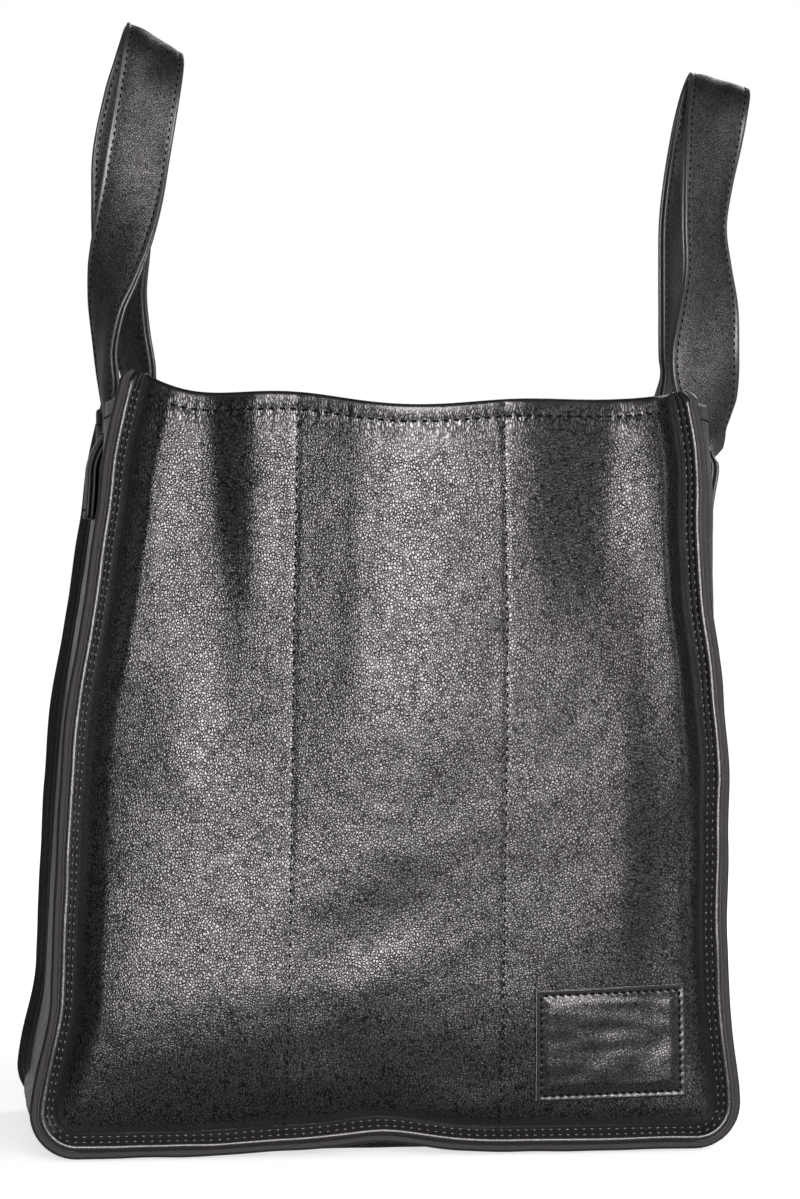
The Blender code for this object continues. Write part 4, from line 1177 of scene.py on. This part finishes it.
def strap_stitches(name, grid, side, outward):
    """A row along each edge of a strap's layer, and rows across it at its sewn ends."""
    middle = grid[len(grid) // 2, grid.shape[1] // 2]
    skin = Skin(grid, middle - np.mean(grid.reshape(-1, 3), 0))
    centre, _, out = strap_frames(side)
    half = 0.5 * STRAP_WIDTH
    columns = np.arange(len(STRAP_SHARES))
    rows = []
    for edge in (-1.0, 1.0):
        column = np.interp(edge * (half - STRAP_STITCH_IN) / half, STRAP_SHARES, columns)
        stations = np.linspace(1.0, len(grid) - 2.0, STRAP_SAMPLES)
        points, _ = skin.read(stations, column)
        index = np.round(stations).astype(int)
        rows.append(spaced(points, outward * out[index], STRAP_PITCH))
    for station in crossings(centre, side):
        share = np.linspace(-1.0, 1.0, 60) * (half - STRAP_STITCH_IN - 1.0) / half
        points, _ = skin.read(float(station), np.interp(share, STRAP_SHARES, columns))
        rows.append(spaced(points, np.tile(outward * out[station], (60, 1)), STRAP_PITCH))
    made = sew(name, rows, 0.62 * STRAP_PITCH, 0.7, sink=0.05, seed=4)
    bend_with_handle(made)


# Label patch

PATCH_WIDTH = 53.0
PATCH_HEIGHT = 39.0
PATCH_CENTRE = (77.3, 38.3)
PATCH_TURN = math.radians(1.3)
PATCH_STITCH_IN = 1.9
PATCH_STEP = 0.6


def panel_depth(grid, x, z):
    """Depth of a panel's outer face at points of the panel."""
    field = grid[:, FIRST_FIELD:LAST_FIELD + 1]
    halfway = field[len(field) // 2, :, 0]
    columns = np.interp(x, halfway, np.arange(len(halfway))).astype(int)
    result = np.zeros_like(x)
    for place in np.ndindex(x.shape):
        row = np.interp(-z[place], -field[:, columns[place], 2], np.arange(len(field)))
        low = min(int(row), len(field) - 2)
        near, far = (np.interp(x[place], field[r, :, 0], field[r, :, 1]) for r in (low, low + 1))
        result[place] = blend(near, far, row - low)
    return result


def label_patch(grid):
    """A bare patch with a raw cut edge, a little puffy inside its row of stitches."""
    across = np.linspace(-0.5, 0.5, round(PATCH_WIDTH / PATCH_STEP) + 1) * PATCH_WIDTH
    up = np.linspace(-0.5, 0.5, round(PATCH_HEIGHT / PATCH_STEP) + 1) * PATCH_HEIGHT
    a, b = np.meshgrid(across, up)
    x = PATCH_CENTRE[0] + a * math.cos(PATCH_TURN) - b * math.sin(PATCH_TURN)
    z = PATCH_CENTRE[1] + a * math.sin(PATCH_TURN) + b * math.cos(PATCH_TURN)
    inward = np.minimum(0.5 * PATCH_WIDTH - np.abs(a), 0.5 * PATCH_HEIGHT - np.abs(b))
    points = stacked(x, 0.0, z)
    run = np.where(0.5 * PATCH_WIDTH - np.abs(a) < 0.5 * PATCH_HEIGHT - np.abs(b), b, a)
    tug = 0.75 + 0.25 * np.cos(2.0 * math.pi * run / PATCH_PITCH)
    groove = 0.5 * tug * bell(inward, PATCH_STITCH_IN, 0.8)
    puff = 0.8 * smooth_between(inward, 2.2, 6.0) + 0.3 * waves(points, 9.0, 9)
    puff += 0.4 * waves(points * (0.35, 1.0, 1.0), 5.0, 10)
    base = panel_depth(grid, x, z) - FIT_GAP
    thick = LEATHER - groove + puff * smooth_between(inward, 0.5, 4.0)
    outer = stacked(x, base - thick, z)
    grain = 0.3 + 0.5 * smooth_between(inward, 1.0, 5.0)
    shell = Shell("bare_patch")
    shell.slab(outer, stacked(x, base, z), (0, 1, 1), grain)
    made = shell.finish([PANEL_LEATHER, CUT_EDGE])
    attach(made, "bag")
    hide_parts("label_patch")
    skin = Skin(outer, (0.0, -1.0, 0.0))
    near = PATCH_STITCH_IN / PATCH_STEP
    last_r, last_c = outer.shape[0] - 1 - near, outer.shape[1] - 1 - near
    corners = ((near, near), (near, last_c), (last_r, last_c), (last_r, near), (near, near))
    rows = []
    for (r0, c0), (r1, c1) in zip(corners, corners[1:]):
        line = skin.read(np.linspace(r0, r1, 200), np.linspace(c0, c1, 200))
        rows.append(spaced(*line, PATCH_PITCH))
    stitches = sew("patch_stitches", rows, 0.66 * PATCH_PITCH, 0.95, sink=-0.05, seed=5)
    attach(stitches, "bag")


# Dividers, hung between the dressed panels and gusset

DIVIDER_HALF = 0.6
DIVIDER_X = {-1: (-36.0, -32.0), 1: (39.0, 39.0)}
DIVIDER_FOOT = 5.0
LONG_TOP = 212.0
CROSS_END_TOP = 249.0
LONG_END_FOOT = 20.6
TAB_WIDTH = 12.0
TAB_BEND = 2.0
SLOT_HALF = 0.9
CROSS_SLOT_TOP = 108.15
LONG_SLOT_FOOT = 107.85
WEB_COLUMNS = 22
WEB_ROWS = 30
CROSSING_COLUMN = 8
TAB_COLUMNS = 9


def divider_x(side, z):
    return blend(*DIVIDER_X[side], z / RIM_HEIGHT)


def web_heights(foot, split, top):
    """Heights of a web's points: even rows up to the end of its slots and even rows above."""
    lower = np.linspace(0.0, 1.0, WEB_ROWS)[:, None]
    return np.concatenate([blend(foot, split, lower), blend(split, top, lower[1:])])


def soft_plate(name, node, middle, kept):
    """A suede sheet of even thickness over its middle points."""
    reach = DIVIDER_HALF * surface_normals(middle)
    shell = Shell(name)
    shell.plate(middle + reach, middle - reach, kept)
    dressed(shell, [SUEDE], node)


def half_web(marks):
    """Columns of half a web from its middle outwards: share along it, how far it has turned
    aside into its tab, and how far short of the wall it lies."""
    angle = np.radians([0.0, 22.5, 45.0, 67.5, 90.0])
    tab = np.linspace(0.0, TAB_WIDTH - TAB_BEND, 6)[1:]
    aside = np.concatenate([TAB_BEND * (1.0 - np.cos(angle)), TAB_BEND + tab])
    short = np.concatenate([TAB_BEND * (1.0 - np.sin(angle)), np.zeros(5)])
    share = np.concatenate([marks[:-1], np.ones(10)])
    plain = np.zeros(len(marks) - 1)
    return share, np.concatenate([plain, aside]), np.concatenate([plain + TAB_BEND, short])


def cross_divider(name, node, side, grids):
    share, aside, short = half_web(np.linspace(0.0, 1.0, WEB_COLUMNS))
    foot = blend(DIVIDER_FOOT, WALL_FOOT, smooth_between(share, 0.8, 0.97))
    top = blend(LONG_TOP, CROSS_END_TOP, share ** 3)
    halves = []
    for end, grid in zip((-1, 1), grids):
        uneven = 0.9 * waves(stacked(share * 70.0, end, side), 17.0, 11)
        z = web_heights(foot, CROSS_SLOT_TOP, top + uneven)
        x = divider_x(side, z) + side * aside
        reach = np.abs(panel_depth(grid, x, z)) - LEATHER - SEWN_GAP - DIVIDER_HALF
        along = blend(SLOT_HALF, reach - short, share)
        place = stacked(x, end * along, z)
        free = smooth_between(along, 4.0, 18.0) * (1.0 - smooth_between(share, 0.7, 0.92))
        place[..., 0] += 1.1 * free * waves(place, 34.0, 12 + side)
        halves.append(place)
    middle = np.concatenate([halves[0][:, ::-1], halves[1]], 1)
    kept = np.ones((middle.shape[0] - 1, middle.shape[1] - 1), bool)
    kept[:WEB_ROWS - 1, len(share) - 1] = False
    soft_plate(name, node, middle, kept)


def long_divider(name, node):
    halves = []
    for side in (-1, 1):
        marks = np.insert(np.linspace(0.0, 1.0, WEB_COLUMNS), CROSSING_COLUMN, 0.0)
        share, aside, short = half_web(marks)
        foot = blend(DIVIDER_FOOT, LONG_END_FOOT, smooth_between(share, 0.87, 0.97))
        uneven = 0.8 * waves(stacked(side * share * 110.0, 0.0, 0.0), 19.0, 14)
        z = web_heights(foot, LONG_SLOT_FOOT, LONG_TOP + uneven)
        crossing = np.abs(divider_x(side, z))
        reach = gusset_reach(side, z, aside) - SEWN_GAP - DIVIDER_HALF - 0.7
        within = np.s_[:, :CROSSING_COLUMN]
        beyond = np.s_[:, CROSSING_COLUMN:len(share) - TAB_COLUMNS]
        along = reach - short
        count = along[beyond].shape[1]
        along[within] = blend(0.0, crossing[within] - SLOT_HALF,
                              np.linspace(0.0, 1.0, CROSSING_COLUMN))
        along[beyond] = blend(crossing[beyond] + SLOT_HALF, along[beyond],
                              np.linspace(0.0, 1.0, count))
        place = stacked(side * along, aside, z)
        free = smooth_between(np.abs(along - crossing), 4.0, 14.0)
        free *= 1.0 - smooth_between(along / reach, 0.7, 0.92)
        place[..., 1] += 1.1 * free * waves(place, 36.0, 15)
        halves.append(place)
    middle = np.concatenate([halves[0][:, :0:-1], halves[1]], 1)
    kept = np.ones((middle.shape[0] - 1, middle.shape[1] - 1), bool)
    centre = halves[0].shape[1] - 1
    kept[WEB_ROWS - 1:, [centre - CROSSING_COLUMN, centre + CROSSING_COLUMN - 1]] = False
    soft_plate(name, node, middle, kept)


# Light, floor and camera

def studio():
    """A white surround: white to the camera, a soft light to other rays, and in reflections
    brighter behind the bag than in front.
    """
    world = bpy.data.worlds.new("studio")
    bpy.context.scene.world = world
    world.use_nodes = True
    tree = world.node_tree
    path = add_node(tree, "ShaderNodeLightPath")
    way = add_node(tree, "ShaderNodeTexCoord").outputs["Generated"]
    split = add_node(tree, "ShaderNodeSeparateXYZ", Vector=way)
    behind = add_node(tree, "ShaderNodeMapRange",
                      {"interpolation_type": "SMOOTHSTEP", "From Min": 0.25, "From Max": 1.0,
                       "To Min": 0.02, "To Max": 0.45}, Value=split.outputs["Y"])
    seen = add_node(tree, "ShaderNodeMath", {"operation": "MAXIMUM"},
                    i0=path.outputs["Is Glossy Ray"], i1=path.outputs["Is Transmission Ray"])
    soft = add_node(tree, "ShaderNodeMix", {"data_type": "FLOAT", 2: 0.25}, i0=seen, i3=behind)
    level = add_node(tree, "ShaderNodeMix", {"data_type": "FLOAT", 3: 1.0},
                     i0=path.outputs["Is Camera Ray"], i2=soft)
    set_node(tree, tree.nodes["Background"], {"Color": (1.0, 1.0, 1.0, 1.0)}, Strength=level)


def lamp(name, place, target, width, height, power):
    data = bpy.data.lights.new(name, "AREA")
    data.shape = "RECTANGLE"
    data.size, data.size_y = width, height
    data.energy = power
    data.color = (1.0, 0.965, 0.978)
    made = new_object(name, data)
    made.location = place
    aim = Vector(target) - Vector(place)
    made.rotation_euler = aim.to_track_quat("-Z", "Y").to_euler()


def floor():
    """A broad pale floor that takes the bag's soft shadow and fades into the surround."""
    data = bpy.data.meshes.new("pale_floor")
    data.from_pydata([(-FLOOR_REACH, -FLOOR_REACH, 0), (FLOOR_REACH, -FLOOR_REACH, 0),
                      (FLOOR_REACH, FLOOR_REACH, 0), (-FLOOR_REACH, FLOOR_REACH, 0)],
                     [], [(0, 1, 2, 3)])
    made, tree, shader, place = new_material("pale_floor_finish")
    path = add_node(tree, "ShaderNodeLightPath")
    away = add_node(tree, "ShaderNodeVectorMath", {"operation": "LENGTH"}, i0=place)
    clear = add_node(tree, "ShaderNodeMapRange",
                     {"interpolation_type": "SMOOTHSTEP", "From Min": 0.2, "From Max": 0.7,
                      "To Min": 0.68, "To Max": 1.0}, Value=away.outputs["Value"])
    glow = add_node(tree, "ShaderNodeMath", {"operation": "MULTIPLY"},
                    i0=path.outputs["Is Camera Ray"], i1=clear)
    shader_settings = {"Base Color": (0.5, 0.5, 0.5, 1.0), "Roughness": 0.9,
                       "Emission Color": (1.0, 1.0, 1.0, 1.0)}
    set_node(tree, shader, shader_settings, Emission_Strength=glow)
    data.materials.append(made)
    plane = new_object("pale_floor", data)
    plane.location.z = cad_box[0][2] - 0.0004


def camera():
    data = bpy.data.cameras.new("camera")
    data.lens = CAMERA_LENS
    data.sensor_width = 36.0
    made = new_object("camera", data)
    made.location = CAMERA_PLACE
    made.rotation_euler = (0.5 * math.pi, 0.0, -CAMERA_TURN)
    bpy.context.scene.camera = made


bpy.context.scene.view_settings.view_transform = "Standard"
camera()
floor()
studio()
lamp("key", (0.13, -1.8, 0.4), (0.0, 0.0, 0.2), 1.0, 0.64, 60.0)
lamp("fill", (-1.6, -0.5, 0.9), (0.0, 0.0, 0.2), 0.7, 0.9, 2.5)
lamp("side", (1.7, -0.55, 0.5), (0.05, 0.0, 0.25), 0.7, 0.9, 7.0)
lamp("rear", (0.9, 1.3, 1.1), (0.0, 0.0, 0.2), 0.9, 0.9, 12.0)

front_grid = panel("front_panel_leather", 1, FRONT_FOLDS, "front_panel")
back_grid = panel("back_panel_leather", -1, FRONT_FOLDS[1:9], "back_panel")
gusset_grid = gusset("gusset_leather")
panel_stitches("front_stitches", front_grid, 1)
panel_stitches("back_stitches", back_grid, -1)
seam_stitches("front_seam_stitches", 1)
seam_stitches("back_seam_stitches", -1)
gusset_stitches("gusset_hem_stitches", gusset_grid)
label_patch(front_grid)

for side, word in ((-1, "left"), (1, "right")):
    for layer, outward, parts in STRAP_LAYERS:
        piece, grid = strap_layer(f"{word}_strap_{layer}", side, outward)
        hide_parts(*[f"{word}_handle_{part}" for part in parts])
        bend_with_handle(piece)
        strap_stitches(f"{word}_strap_{layer}_stitches", grid, side, outward)

cross_divider("left_divider_suede", "cross_divider_left", -1, (front_grid, back_grid))
cross_divider("right_divider_suede", "cross_divider_right", 1, (front_grid, back_grid))
long_divider("long_divider_suede", "long_divider")
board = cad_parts["base_board"]
board.data.materials.clear()
board.data.materials.append(FIBREBOARD)
